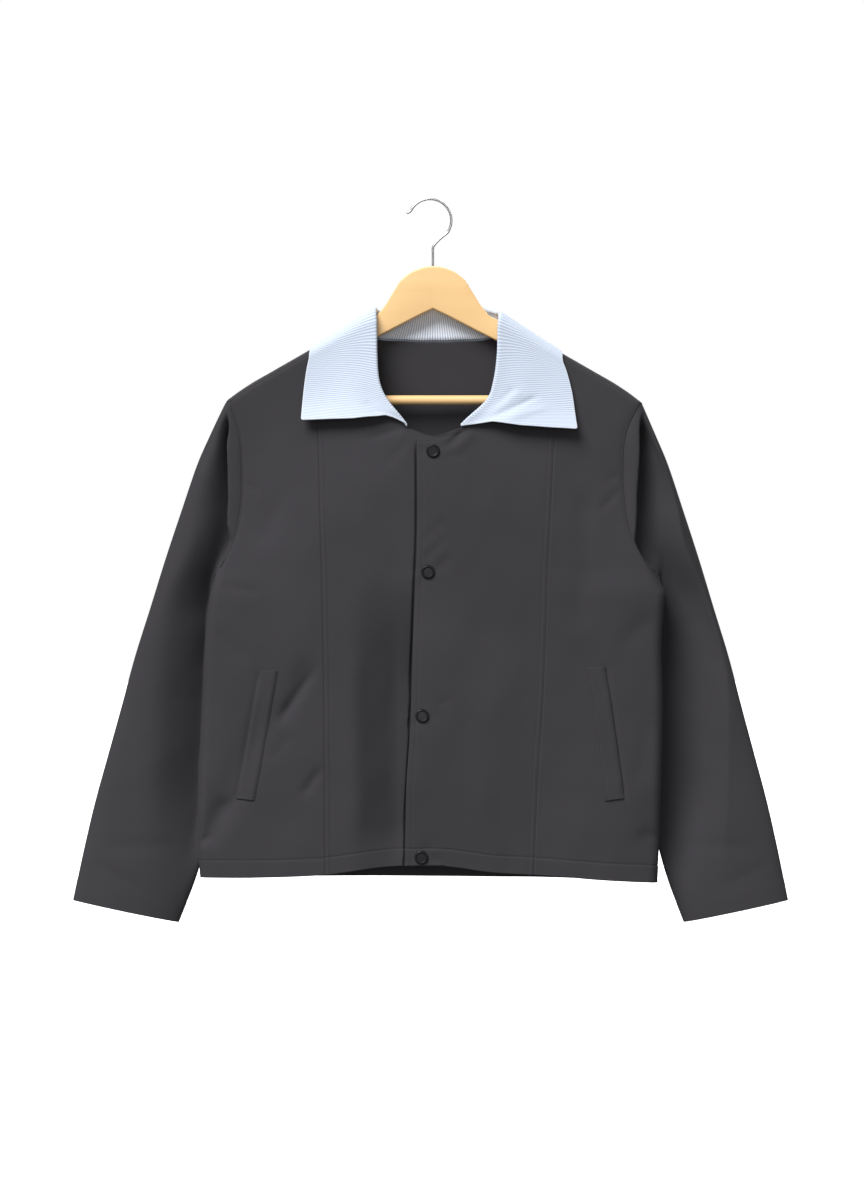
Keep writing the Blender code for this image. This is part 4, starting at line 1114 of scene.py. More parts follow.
def front_side(side_name, hand):
    """Side front: princess seam on the inside, armhole and side seam on the outside."""
    name = f"front_side_{side_name}"
    arm, side = outer_edge(hand, 1)
    whole = np.concatenate([arm, side])
    long = path_length(whole)
    pit = path_length(arm) / long
    v = spread(long, SEAM_STEPS, HEM_STEPS, PITCH)[0] / long
    v = np.sort(np.append(v[np.abs(v - pit) > ARMPIT_ROW_GAP], pit))
    outer = resample(whole, v)
    inner = resample(princess_edge(hand) + [hand * SEAM, 0], v)
    width = np.linalg.norm(outer - inner, axis=1)
    off_seam = spread(width, SEAM_STEPS, SIDE_STEPS, PITCH)
    points = patch(inner, outer, off_seam, v, 1)
    off_side = width[:, None] - off_seam
    off_hem = hem_w(points[..., 0], 1) - points[..., 1]
    above_pit = 1 - step(v, pit - ARMHOLE_DIP_FADE, pit)[:, None]
    at_side = above_pit * armhole_dip(off_side) + (1 - above_pit) * seam_dip(off_side)
    middle = -WALL / 2 + seam_dip(off_seam) + at_side + hem_form(off_hem)
    middle += SHOULDER_DIP_SHARE * seam_dip(points[..., 1] - SHOULDER_SEAM)
    walls = cloth_wall(points, middle, rounded(off_hem, WALL / 2))
    piece = shell(f"{name}_cloth", *walls, CHARCOAL, points)
    hem = hem_line(inner[-1, 0] + hand * 1, outer[-1, 0] - hand * 1, FRONT_HEM_POINTS)
    thread = stitches(f"{name}_stitches", [row_on_cloth(hem, -STITCH_SINK)])
    declare(piece, name, *flat_size(points), thread)


def back():
    """Back: over the shoulders to the forward shoulder seams, round the neck, down to the hem. Above
    the neck's corners the grid holds only the two shoulders. The left side's rows are the right side's,
    moved so that one meets the armpit."""
    neck = neckline()
    over_w = np.array(BACK_OVER_ROWS)
    low = len(over_w) - 1
    blocks, tops, sides = {}, {}, {}
    for hand in (-1, 1):
        arm, side = outer_edge(hand, -1)
        whole = np.concatenate([arm, side])
        half = neck[::hand][len(neck) // 2:]
        over = half[np.argsort(-half[:, 1])]
        inner = np.stack([np.interp(-over_w, -over[:, 1], over[:, 0]), over_w], axis=-1)
        rim = np.stack([np.interp(-over_w, -arm[:, 1], arm[:, 0]), over_w], axis=-1)
        width = np.linalg.norm(rim - inner, axis=1)
        off = spread(width, BACK_NECK_STEPS, SIDE_STEPS, BACK_PITCH)
        u = (off / width[:, None])[..., None]
        blocks[hand] = (1 - u) * inner[:, None] + u * rim[:, None]
        tops[hand] = blocks[hand][-1]
        start = path_length(whole[whole[:, 1] > BACK_CORNER_W])
        long = path_length(whole)
        pit = (path_length(arm) - start) / (long - start)
        if hand < 0:
            rows = spread(long - start, BACK_TOP_STEPS, HEM_STEPS, BACK_PITCH)[0] / (long - start)
            rows = np.sort(np.append(rows[np.abs(rows - pit) > ARMPIT_ROW_GAP], pit))
            first_pit = pit
        below_pit = pit + (rows - first_pit) * (1 - pit) / (1 - first_pit)
        down = np.where(rows < first_pit, rows * pit / first_pit, below_pit)
        sides[hand] = resample(whole, (start + down * (long - start)) / long)
    middle = np.concatenate([tops[-1][:1], neck[neck[:, 1] < BACK_CORNER_W], tops[1][:1]])
    middle = resample(middle, np.linspace(0, 1, BACK_NECK_COUNT))
    top = np.concatenate([tops[-1][:0:-1], middle, tops[1][1:]])
    u = (top[:, 0] - top[0, 0]) / (top[-1, 0] - top[0, 0])
    v = fractions(sides[-1])
    lower_off = u * np.linalg.norm(sides[1] - sides[-1], axis=1)[:, None]
    lower = patch(sides[-1], sides[1], lower_off, v, -1)
    lower[..., 1] += ((1 - v) ** 3)[:, None] * (top[:, 1] - lower[0, :, 1])
    gap = np.zeros((low, BACK_NECK_COUNT - 2, 2))
    upper = np.concatenate([blocks[-1][:low, ::-1], gap, blocks[1][:low]], axis=1)
    points = np.concatenate([upper, lower])
    cells = np.ones((len(points) - 1, len(u) - 1), bool)
    cells[:low, len(tops[-1]) - 1:1 - len(tops[1])] = False

    off_left = np.linalg.norm(points - points[:, :1], axis=-1)
    off_right = np.linalg.norm(points - points[:, -1:], axis=-1)
    off_hem = hem_w(points[..., 0], -1) - np.abs(points[..., 1])
    off_hem = np.where(points[..., 1] < BACK_HEM_BELOW, off_hem, FAR)
    off_shoulder = SHOULDER_SEAM - points[..., 1]
    middle = -WALL / 2 + seam_dip(off_left) + seam_dip(off_right) + hem_form(off_hem)
    sewn = SHOULDER_STITCH_SHARE * stitch_dip(off_shoulder, SHOULDER_ROW)
    middle += SHOULDER_DIP_SHARE * seam_dip(off_shoulder) + sewn
    walls = cloth_wall(points, middle, rounded(off_hem, WALL / 2))
    piece = shell("back_cloth", *walls, CHARCOAL, points, cells=cells)

    rows = [hem_line(lower[-1, 0, 0] + 1, lower[-1, -1, 0] - 1, BACK_HEM_POINTS, -1)]
    for hand in (-1, 1):
        ends = np.abs(blocks[hand][0, [0, -1], 0])
        a_seam = hand * np.linspace(ends[0] + 2, ends[1] - 2, SHOULDER_ROW_POINTS)
        w_seam = np.full(SHOULDER_ROW_POINTS, SHOULDER_SEAM - SHOULDER_ROW)
        rows += [np.stack([a_seam, w_seam], axis=-1)]
    thread = stitches("back_stitches", [row_on_cloth(row, -STITCH_SINK) for row in rows])
    size, area = flat_size(lower)
    over, across = BACK_SHOULDER_CUT
    area += 2 * MM * MM * over * across
    declare(piece, "back", (size[0], size[1] + over * MM), area, thread)


def off_body(points, hand, clearance):
    """Points moved out, square to the body's round side, until they are at least the given distance off
    it. A distance that is not a number leaves the point where it is."""
    x, y, z = [points[..., k] for k in range(3)]
    across = hand * x - (by_side(SIDE, z, hand) - RIDGE_RADIUS)
    deep = y + side_forward(x, z)
    away = np.hypot(across, deep)
    push = np.fmax(RIDGE_RADIUS + clearance - away, 0) / away
    return points + np.stack([hand * across * push, deep * push, 0 * z], axis=-1)


def sleeve_ovals(hand, rows, angle):
    """The sleeve's rings as flat ovals between its outer edge and its under edge."""
    outer_x, outer_z, outer_y, under_x, under_z, under_y, half_depth = along_stations(SLEEVE, rows).T
    scale = 1 + (pick(SLEEVE_SCALE, hand) - 1) * (rows / rows[-1])
    wider = by_side(SIDE, under_z, hand) - by_side(SIDE, under_z, -1)
    under_x = under_x * scale + wider * (1 - step(rows, *SLEEVE_UNDER_FOLLOWS_TO))
    under_x = under_x - pick(SLEEVE_UNDER_SINK, hand) * bell(rows, *SLEEVE_UNDER_SINK_AT)
    outer = np.stack([hand * outer_x * scale, outer_y, outer_z], axis=-1)[:, None]
    under = np.stack([hand * under_x, under_y, under_z], axis=-1)[:, None]
    deep = np.zeros((len(rows), len(angle), 3))
    deep[..., 1] = -half_depth[:, None] * np.sin(angle)
    return (outer + under) / 2 + np.cos(angle)[None, :, None] * (outer - under) / 2 + deep


def sleeve_front(points, hand, rows, angle):
    """Rings with the form of the sleeve's front: a flat strip beside the armhole, a lip at its fold edge
    and a valley beyond, which stops short of the sleeve's back, with a low ridge on its far side."""
    x, low = hand * points[..., 0], -points[..., 2]
    beyond = x - by_side(SLEEVE_FOLD, -low, hand)
    front = step(np.sin(angle), *SLEEVE_FRONT_FROM)[None]
    from_top = step(low, *SLEEVE_VALLEY_FROM)
    strip = front * from_top * (1 - step(low, *SLEEVE_STRIP_TO))
    mirrored = points[:, -np.arange(len(angle)), 1]
    room = np.maximum(mirrored - points[..., 1], SLEEVE_VALLEY_LEAST)
    wide = SLEEVE_VALLEY_HEAD
    for share, start, end in SLEEVE_VALLEY_WIDENS:
        wide = wide + share * step(low, start, end)
    wide = SLEEVE_VALLEY_WIDTH * wide
    edges = [x - by_side(SLEEVE_FOLD, shift - low, hand) for shift in SLEEVE_FOLD_SHIFTS]
    across = np.clip(np.mean(edges, axis=0) / wide, 0, 1)
    valley = step(beyond, *SLEEVE_VALLEY_STEP) * (1 - across) ** pick(SLEEVE_VALLEY_POWER, hand)
    valley = valley * (1 - step(np.cos(angle), *SLEEVE_OUTER_FROM))
    ease = pick(SLEEVE_VALLEY_EASE, hand)
    fade = 1 - ease * step(low, *SLEEVE_VALLEY_EASES) - (1 - ease) * step(low, *SLEEVE_VALLEY_ENDS)
    fade = from_top * fade
    wanted = pick(SLEEVE_VALLEY_DEPTH, hand) * fade * valley + SLEEVE_VALLEY_LEAST
    most = SLEEVE_VALLEY_ROOM * room
    power = -SLEEVE_VALLEY_CHANGE
    depth = (wanted ** power + most ** power) ** (1 / power) * step(room, *SLEEVE_VALLEY_NEEDS)
    depth = depth * step(rows, 0, SLEEVE_VALLEY_FULL)[:, None]
    ridge = bell(beyond, SLEEVE_VALLEY_WIDTH, SLEEVE_RIDGE_WIDTH)
    ridge = pick(SLEEVE_RIDGE, hand) * fade * front * ridge
    rise, at, width = SLEEVE_STRIP_SWELL
    lip = pick(SLEEVE_LIP, hand) * step(beyond, *SLEEVE_LIP_RISE) * (1 - step(beyond, *SLEEVE_LIP_FALL))
    points[..., 1] += depth
    points[..., 1] -= ridge * step(room, *SLEEVE_RIDGE_NEEDS)
    points[..., 1] -= strip * rise * bell(beyond, at, width) * step(rows, 0, SLEEVE_STRIP_FULL)[:, None]
    points[..., 0] += hand * strip * lip * step(rows, 0, SLEEVE_LIP_FULL)[:, None]
    return points


def sleeve_relief(angle, share, off_hole, off_cuff):
    """Height of the sleeve's creases, slow waves, armhole seam and turned cuff."""
    relief = np.zeros_like(off_hole)
    across, down = angle[None] * SLEEVE_CREASE_RADIUS, share[:, None] * SLEEVE_CREASE_LENGTH
    for *ends, width, rise in SLEEVE_CREASES:
        line = [ends[k] * (SLEEVE_CREASE_RADIUS if k % 2 else SLEEVE_CREASE_LENGTH) for k in (1, 0, 3, 2)]
        relief += crease(across, down, line, width, rise, SLEEVE_CREASE_FALL)
    across, down = SLEEVE_WAVE_TURNS
    wave = SLEEVE_WAVE * np.sin(angle * across + down * share[:, None])
    relief += wave * step(share, *SLEEVE_WAVE_FROM)[:, None]
    at_ends = armhole_dip(off_hole) + swell(off_cuff, *CUFF_DIP)
    return relief + (at_ends + CUFF_SWELL * (1 - step(off_cuff, *CUFF_SWELL_TO)))


def sleeve(side_name, hand):
    """Set-in sleeve: a tube from the armhole to the cuff. Its rings are flat ovals. The first ones lead
    over from the armhole's own line, and the edge there is tucked in under the body's cloth."""
    name = f"sleeve_{side_name}"
    half_round = np.linspace(0, np.pi, SLEEVE_ROUND // 2 + 1)
    angle = np.concatenate([half_round, TURN - half_round[-2:0:-1]])
    fine = armhole(hand)
    w = fine[-1, 1] * (1 - np.cos(half_round)) / 2
    edge = np.stack([np.interp(w, fine[:, 1], fine[:, 0]), w], axis=-1)
    inward = hand * edge_normal(edge)
    inward[0] = (-hand, 0)
    inward[-1] = (0, -1)

    def ring(offset):
        """The armhole's edge moved square to itself, round the front and mirrored round the back."""
        moved = edge + offset * inward
        return np.concatenate([moved, moved[-2:0:-1] * [1, -1]])

    hole, body, tuck = ring(SEAM), ring(-1.0), ring(-SLEEVE_TUCK)
    last = len(SLEEVE) - 1
    rows = np.concatenate([
        SLEEVE_TOP_ROWS,
        np.linspace(SLEEVE_LEAD_FROM, SLEEVE_LEAD, SLEEVE_LEAD_ROWS),
        np.linspace(SLEEVE_LEAD, last, SLEEVE_LOWER_ROWS)[1:-SLEEVE_ROWS_LEFT_TO_CUFF],
        last - np.array(SLEEVE_CUFF_ROWS),
    ])
    oval = sleeve_ovals(hand, rows, angle)
    lead = 1 - (1 - np.clip(rows / SLEEVE_LEAD, 0, 1))[:, None, None] ** 2
    points = (1 - lead) * cloth(hole)[None] + lead * oval
    fold = step(np.abs(angle - np.pi), *SLEEVE_FOLD_ANGLES)
    clearance = SLEEVE_PIT_CLEARANCE * step(rows, *SLEEVE_PIT_CLEAR_AT)
    clearance = clearance - SLEEVE_PIT_SINK * (1 - step(rows, *SLEEVE_PIT_SINKS_TO))
    points = off_body(points, hand, np.where(fold > 0, fold * clearance[:, None], np.nan))
    behind = step(-np.sin(angle), *SLEEVE_BEHIND_FROM)[None]
    behind = behind * between(rows, SLEEVE_BACK_FROM, SLEEVE_BACK_TO)[:, None]
    points[..., 1] += SLEEVE_BACK_FULLNESS * behind
    points = sleeve_front(points, hand, rows, angle)

    round_next = np.roll(points, -1, axis=1) - np.roll(points, 1, axis=1)
    normal = unit(hand * np.cross(round_next, np.gradient(points, axis=0)))
    middle = oval.mean(axis=1)
    down = np.concatenate([[0], np.cumsum(np.linalg.norm(np.diff(middle, axis=0), axis=1))])
    off_hole = down[:, None] * np.ones(len(angle))
    off_cuff = (down[-1] - down)[:, None] * np.ones(len(angle))
    relief = sleeve_relief(angle, rows / rows[-1], off_hole, off_cuff)
    points = points + relief[..., None] * normal * step(rows, 0, SLEEVE_RELIEF_FULL)[:, None, None]

    to_body = cloth(body) - cloth(hole)
    at_hole = (1 - fold[:, None]) * (cloth(hole, 1.0) - cloth(hole)) + fold[:, None] * to_body
    blend = step(rows, 0, SLEEVE_NORMAL_FULL)[:, None, None]
    normal = unit((1 - blend) * at_hole[None] + blend * normal)
    half = rounded(off_cuff, WALL / 2)[..., None]
    faces = [points - (WALL / 2 - half) * normal, points - (WALL / 2 + half) * normal]
    for k, depth in enumerate(SLEEVE_TUCK_DEPTHS):
        faces[k] = np.concatenate([cloth(tuck, -WALL - depth)[None], faces[k]])
    girth = np.linalg.norm(round_next, axis=-1) / 2
    uv = np.stack([np.cumsum(girth, axis=1) - girth, off_hole], axis=-1)
    uv = np.concatenate([uv[:1] - [0, SLEEVE_TUCK], uv])
    piece = shell(f"{name}_cloth", *faces, CHARCOAL, uv, closed=True)
    widest = girth.sum(axis=1).max() * MM
    area = mesh_area(piece) / 2
    long = max(down[-1] * MM + SLEEVE_HEAD_CUT, area / widest * CUT_MARGIN)
    declare(piece, name, (widest, long), min(area, widest * long))


def mesh_area(piece):
    """Area of a piece's faces in square metres."""
    sizes = np.empty(len(piece.data.polygons))
    piece.data.polygons.foreach_get("area", sizes)
    return float(sizes.sum())


def collar():
    """Collar: one strip along the neck, up the stand, over the roll and down the fall. Its stripes run
    from the neck to the outer edge, slanted on the two front leaves."""
    neck, roll, lift, edge = collar_rows()
    count = len(neck) - 1
    steps = COLLAR_STEPS + COLLAR_STEPS[::-1]
    u = np.concatenate([k + np.arange(n) / n for k, n in enumerate(steps)] + [[count]])
    close = np.array(COLLAR_END_STEPS)
    u = np.sort(np.concatenate([u, close, count - close]))
    neck, roll, lift, edge = [along_stations(line, u) for line in (neck, roll, lift, edge)]
    away = unit(roll - neck)
    from_end = np.minimum(u, count - u)[:, None]
    front = 1 - step(from_end, *COLLAR_LEAF_TO)
    bend = COLLAR_ROLL * (COLLAR_TIP_ROLL + (1 - COLLAR_TIP_ROLL) * step(from_end, *COLLAR_ROLL_FULL))
    roll = roll - (bend + COLLAR_WALL / 2) * away * front
    near_end = np.exp(-from_end[:, 0] / COLLAR_END_STATIONS)
    bottom_lift = COLLAR_BOTTOM_LIFT * np.exp(-from_end / COLLAR_LIFT_STATIONS)
    places, heights, across = [], [], []
    for t in np.linspace(0, 1, COLLAR_STAND_ROWS + 1)[:-1]:
        places.append(neck + (roll - neck) * t)
        heights.append(-WALL / 2 + (lift + WALL / 2) * t)
        across.append(t - 1)
    for turn in np.linspace(0, np.pi, COLLAR_ROLL_ROWS + 1)[:-1]:
        places.append(roll + bend * np.sin(turn) * away)
        heights.append(lift + bend * (1 - np.cos(turn)))
        across.append(0)
    for t in COLLAR_FALL_ROWS:
        place = roll + (edge - roll) * t
        bow = np.zeros_like(place)
        for end, line in ((0, COLLAR_END_RIGHT), (-1, COLLAR_END_LEFT)):
            wanted = chart(place[end, 0], np.interp(t, *np.transpose(line)))[1]
            bow[:, 1] += (wanted - place[end, 1]) * near_end * ((u < count / 2) == (end == 0))
        places.append(place + bow)
        corner = front * step(t, *COLLAR_LIFT_FROM) * (COLLAR_EDGE_LIFT * t + bottom_lift)
        heights.append(COLLAR_REST + corner + (lift + 2 * bend - COLLAR_REST) * (1 - t) ** 2)
        across.append(t)
    places = np.stack(places)
    heights = np.stack(heights)[..., 0]
    across = np.array(across, float)[:, None]
    x, w = places[..., 0], places[..., 1]
    z = shoulder(x) - np.abs(w) + BEND_EXTRA
    relief = folds(COLLAR_FOLDS, x, z, np.where(w > 0, 1, -1))
    heights += relief * step(across, *COLLAR_FOLDS_FROM)
    points = cloth(places, heights)

    along, over = np.gradient(points, axis=1), np.gradient(points, axis=0)
    normal = unit(np.cross(over, along))
    middle = points[len(points) // 2]
    length = np.concatenate([[0], np.cumsum(np.linalg.norm(np.diff(middle, axis=0), axis=1))])
    length = length - length[-1] / 2
    width = np.linalg.norm(np.diff(points, axis=0), axis=-1).cumsum(axis=0)
    width = np.concatenate([np.zeros((1, len(u))), width])
    off_edge = width[-1] - width
    off_end = np.minimum(np.abs(length - length[0]), np.abs(length - length[-1]))[None]
    off_end = off_end * np.ones_like(width)
    points = collar_corners(points, off_end, off_edge, np.sign(length)[:, None] * unit(along), unit(over))
    slant = STRIPE_SLANT * (1 - step(from_end[:, 0], *STRIPE_SLANT_TO)) * np.sign(length)
    stripe = length[None] + slant[None] * (np.maximum(across, 0) - 0.5)
    half = np.minimum(rounded(off_edge, COLLAR_WALL / 2), rounded(off_end, COLLAR_WALL / 2))[..., None]
    uv = np.stack([stripe, width], axis=-1)
    # The stand's share marks where the striped cloth's ground is painted whiter, as painted light against
    # the hanger's shade
    stand = step(-across, *COLLAR_STAND_FROM) * np.ones_like(width)
    values = {"stripe": stripe, "rim": np.minimum(off_edge, off_end), "stand": stand}
    faces = (points + normal * half, points - normal * half)
    piece = shell("collar_cloth", *faces, STRIPED, uv, values=values)
    area = mesh_area(piece) / 2
    size = np.array([path_length(points[-1]), width[-1].max()]) * MM
    size[0] = max(size[0], area / size[1] * CUT_MARGIN)
    declare(piece, "collar", size, area)


def collar_corners(points, off_end, off_edge, to_end, to_edge):
    """Collar points with the leaves' outer corners rounded: a point nearer than the corner's radius to
    both edges is drawn in towards the middle of the corner's round."""
    near = np.maximum(COLLAR_CORNER - np.stack([off_end, off_edge]), 0)
    past = 1 - near.max(axis=0) / np.maximum(np.hypot(*near), COLLAR_CORNER_LEAST)
    pull = np.where(near.min(axis=0) > 0, past, 0)
    return points - (pull * near[0])[..., None] * to_end - (pull * near[1])[..., None] * to_edge


def welt(side_name, corners):
    """Pocket welt: a folded strip on the side front, open along its outer edge, sewn at both ends."""
    name = f"pocket_welt_{side_name}"
    inner_top, outer_top, outer_low, inner_low = [chart(*corner) for corner in corners]
    long = np.linalg.norm(inner_low - inner_top)
    wide = np.linalg.norm(outer_top - inner_top)
    u = spread(wide, EDGE_STEPS, EDGE_STEPS, WELT_PITCHES[0])[0] / wide
    v = spread(long, EDGE_STEPS, EDGE_STEPS, WELT_PITCHES[1])[0] / long
    left = inner_top + (inner_low - inner_top) * v[:, None]
    right = outer_top + (outer_low - outer_top) * v[:, None]
    points = left[:, None] + (right - left)[:, None] * u[None, :, None]
    off_inner = u[None] * wide * np.ones((len(v), 1))
    off_outer = wide - off_inner
    off_top = v[:, None] * long * np.ones((1, len(u)))
    off_low = long - off_top
    nearest = np.minimum(np.minimum(off_inner, off_outer), np.minimum(off_top, off_low))
    gape = WELT_GAPE * step(off_inner, wide - WELT_GAPE_WIDTH, wide)
    gape = between(off_top, WELT_GAPE_FROM, long - np.array(WELT_GAPE_TO)) * gape
    middle = WELT_LIFT + WELT_THICKNESS / 2 + gape
    middle += stitch_dip(off_inner, WELT_EDGE_ROW) - WELT_SINK * (1 - step(off_inner, 0, WELT_SINK_WIDTH))
    middle += sum(stitch_dip(off, row) for off in (off_top, off_low) for row in WELT_END_ROWS)
    down, across = WELT_WAVE_LENGTHS
    middle += WELT_WAVE * np.sin(off_top / down + off_inner / across)
    walls = cloth_wall(points, middle, rounded(nearest, WELT_THICKNESS / 2))
    piece = shell(f"{name}_cloth", *walls, CHARCOAL, points)

    down = (inner_low - inner_top) / long
    t = np.linspace(0, 1, WELT_ROW_POINTS)[:, None]
    across = 1 + (wide - 2) * t
    along = WELT_EDGE_ROW_IN + (long - 2 * WELT_EDGE_ROW_IN) * t
    over, over_low = (outer_top - inner_top) / wide, (outer_low - inner_low) / wide
    rows = [inner_top + over * WELT_EDGE_ROW + down * along]
    for off in WELT_END_ROWS:
        rows += [inner_top + down * off + over * across, inner_low - down * off + over_low * across]
    lift = WELT_LIFT + WELT_THICKNESS - STITCH_SINK
    thread = stitches(f"{name}_stitches", [row_on_cloth(row, lift) for row in rows])
    places = np.array(corners)
    size = np.linalg.norm(places[[1, 3]] - places[0], axis=1) * MM
    declare(piece, name, size, min(flat_size(points)[1], size[0] * size[1]), thread)


def declare(piece, node, size, area, *sewn):
    """Hides the CAD node that a piece of cloth stands for. What it rests on is worked out but not used,
    and the size of its cut is not used.
    """
    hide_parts(node)
    rests_on = ["hanger_body"] if node == "back" else ["back"]


def turned(name, rings, finish, node):
    """A closed piece from rings of points, with a fan over its first and last ring."""
    rows, columns = rings.shape[:2]
    quads = grid_quads(rows, columns, closed=True).reshape(-1, 4).tolist()
    centres = [rings[0].mean(axis=0), rings[-1].mean(axis=0)]
    points = np.concatenate([rings.reshape(-1, 3), centres])
    around = np.arange(columns)
    after = np.roll(around, -1)
    ends = rows * columns
    base = ends - columns
    first = np.stack([np.full(columns, ends), around, after], axis=-1).tolist()
    last = np.stack([np.full(columns, ends + 1), base + after, base + around], axis=-1).tolist()
    piece = add_mesh(name, points, quads + first + last, finish)
    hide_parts(node)


def whole_turn(count):
    """Angles of a number of points round a circle."""
    return np.linspace(0, TURN, count + 1)[:-1]


def snap(number, place):
    """Snap cap: a profile of radius and height turned round the cloth's normal at its place."""
    point = chart(*place)
    lift = SNAP_GAP + front_lift(point, 1)
    seat = cloth(point, lift)
    up = cloth(point, lift + 1) - seat
    over = unit(np.cross([0, 0, 1], up))
    turn = whole_turn(SNAP_SIDES)[:, None]
    circle = np.cos(turn) * over + np.sin(turn) * np.cross(up, over)
    profile = np.array(SNAP_PROFILE)
    rings = seat + profile[:, 0, None, None] * circle + profile[:, 1, None, None] * up
    turned(f"snap_{number}_cap", rings, SNAP, f"snap_{number}")


def hanger_outline(x):
    """Upper and lower height of the flat hanger at a distance across."""
    x = np.abs(x)
    arm_x = HANGER_ARM_FROM_X
    dome = curve(HANGER_DOME + [(arm_x, shoulder(arm_x) - HANGER_BELOW_RIDGE)], 1, x)
    upper = np.where(x < arm_x, dome, shoulder(x) - HANGER_BELOW_RIDGE)
    corner = np.clip(x - (HANGER_END_X - HANGER_END_CORNER), 0, HANGER_END_CORNER)
    bevel = HANGER_END_CORNER - np.sqrt(np.maximum(HANGER_END_CORNER ** 2 - corner ** 2, 0))
    low_x = np.linspace(arm_x, HANGER_ARM_TO_X, HANGER_ARM_POINTS)
    arm_low = np.stack([low_x, shoulder(low_x) - HANGER_BELOW_RIDGE - HANGER_ARM_DEPTH], axis=-1)
    seat = (HANGER_BAR_X - HANGER_SEAT_SLOPE, HANGER_BAR_Z + HANGER_BAR_RADIUS + HANGER_BAR_HEADROOM)
    end = [seat, (HANGER_BAR_X, HANGER_END_Z), (HANGER_END_X, HANGER_END_Z)]
    lower = np.interp(x, *np.concatenate([HANGER_CROTCH, arm_low, end]).T)
    return upper - bevel, lower + bevel


def hanger_body():
    """Flat wooden hanger: a rounded rectangle, as high as the outline, carried from end to end."""
    on_dome, on_arm = HANGER_SECTIONS
    half_x = np.concatenate([
        np.linspace(0, HANGER_ARM_FROM_X, on_dome),
        np.linspace(HANGER_ARM_FROM_X, HANGER_SECTIONS_TO_X, on_arm)[1:],
        HANGER_END_SECTIONS,
    ])
    x = np.concatenate([-half_x[:0:-1], half_x])
    upper, lower = hanger_outline(x)
    turn = np.radians(np.linspace(0, 90, HANGER_CORNER_POINTS))
    corner = np.stack([np.cos(turn), np.sin(turn)], axis=-1)
    ring = np.concatenate([corner, corner[::-1] * [-1, 1], -corner, corner[::-1] * [1, -1]])
    sign = np.repeat([(1, 1), (-1, 1), (-1, -1), (1, -1)], HANGER_CORNER_POINTS, axis=0)
    round_off = np.minimum(HANGER_EDGE_ROUND, (upper - lower) * HANGER_ROUND_MOST)[:, None]
    y = sign[:, 0] * (HANGER_HALF_THICKNESS - round_off) + ring[:, 0] * round_off
    tall = ((upper - lower) / 2)[:, None]
    z = ((upper + lower) / 2)[:, None] + sign[:, 1] * (tall - round_off) + ring[:, 1] * round_off
    rings = np.stack([np.broadcast_to(x[:, None], y.shape), y, z], axis=-1)
    turned("hanger_board", rings, WOOD, "hanger_body")


def swept(path, radius, sides):
    """Rings of points round a path in the X-Z plane, each square to the path."""
    direction = unit(np.gradient(path, axis=0))
    square = np.stack([-direction[:, 1], direction[:, 0]], axis=-1)
    turn = whole_turn(sides)
    flat = path[:, None] + radius[:, None, None] * np.cos(turn)[None, :, None] * square[:, None]
    y = radius[:, None] * np.sin(turn)[None]
    return np.stack([flat[..., 0], y, flat[..., 1]], axis=-1)


def hanger_bar():
    """Round trouser bar between the hanger's ends."""
    end = HANGER_BAR_X - HANGER_BAR_GAP
    x = np.linspace(-end, end, HANGER_BAR_POINTS)
    path = np.stack([x, np.full_like(x, HANGER_BAR_Z)], axis=-1)
    rings = swept(path, np.full_like(x, HANGER_BAR_RADIUS), HANGER_BAR_SIDES)
    turned("hanger_rod", rings, WOOD, "hanger_bar")


def hanger_hook():
    """Wire hook: the tip, the round crown, the leg and the stem, as a round wire with a rounded tip."""
    centre_z = WIRE_RADIUS - np.sqrt(HOOK_RADIUS ** 2 - HOOK_OFFSET_X ** 2)
    turn = np.radians(np.linspace(HOOK_TO_DEGREES, HOOK_FROM_DEGREES, HOOK_CROWN_POINTS))
    crown = HOOK_RADIUS * np.stack([np.cos(turn), np.sin(turn)], axis=-1) + [HOOK_OFFSET_X, centre_z]
    stations = np.concatenate([HOOK_TIP[::-1], crown, HOOK_LEG, HOOK_STEM])
    fine = fine_curve(stations, HOOK_FINE_STEPS)
    long = path_length(fine)
    place = np.concatenate([HOOK_TIP_STEPS, np.linspace(HOOK_TIP_LENGTH, long, HOOK_POINTS)])
    t = np.clip(place / WIRE_RADIUS, 0, 1)
    radius = WIRE_RADIUS * np.sqrt(1 - (1 - t) ** 2)
    rings = swept(resample(fine, place / long), radius, WIRE_SIDES)
    turned("hanger_wire", rings, WIRE, "hanger_hook")


class Value:
    """A shader value. Arithmetic on values and numbers adds Math nodes."""

    def __init__(self, finish, socket):
        self.finish = finish
        self.socket = socket

    def math(self, operation, *others):
        """This value and others put through a Math node."""
        return self.finish.math(operation, self, *others)

    def __add__(self, other):
        return self.math("ADD", other)

    def __sub__(self, other):
        return self.math("SUBTRACT", other)

    def __mul__(self, other):
        return self.math("MULTIPLY", other)

    def __truediv__(self, other):
        return self.math("DIVIDE", other)

    __radd__ = __add__


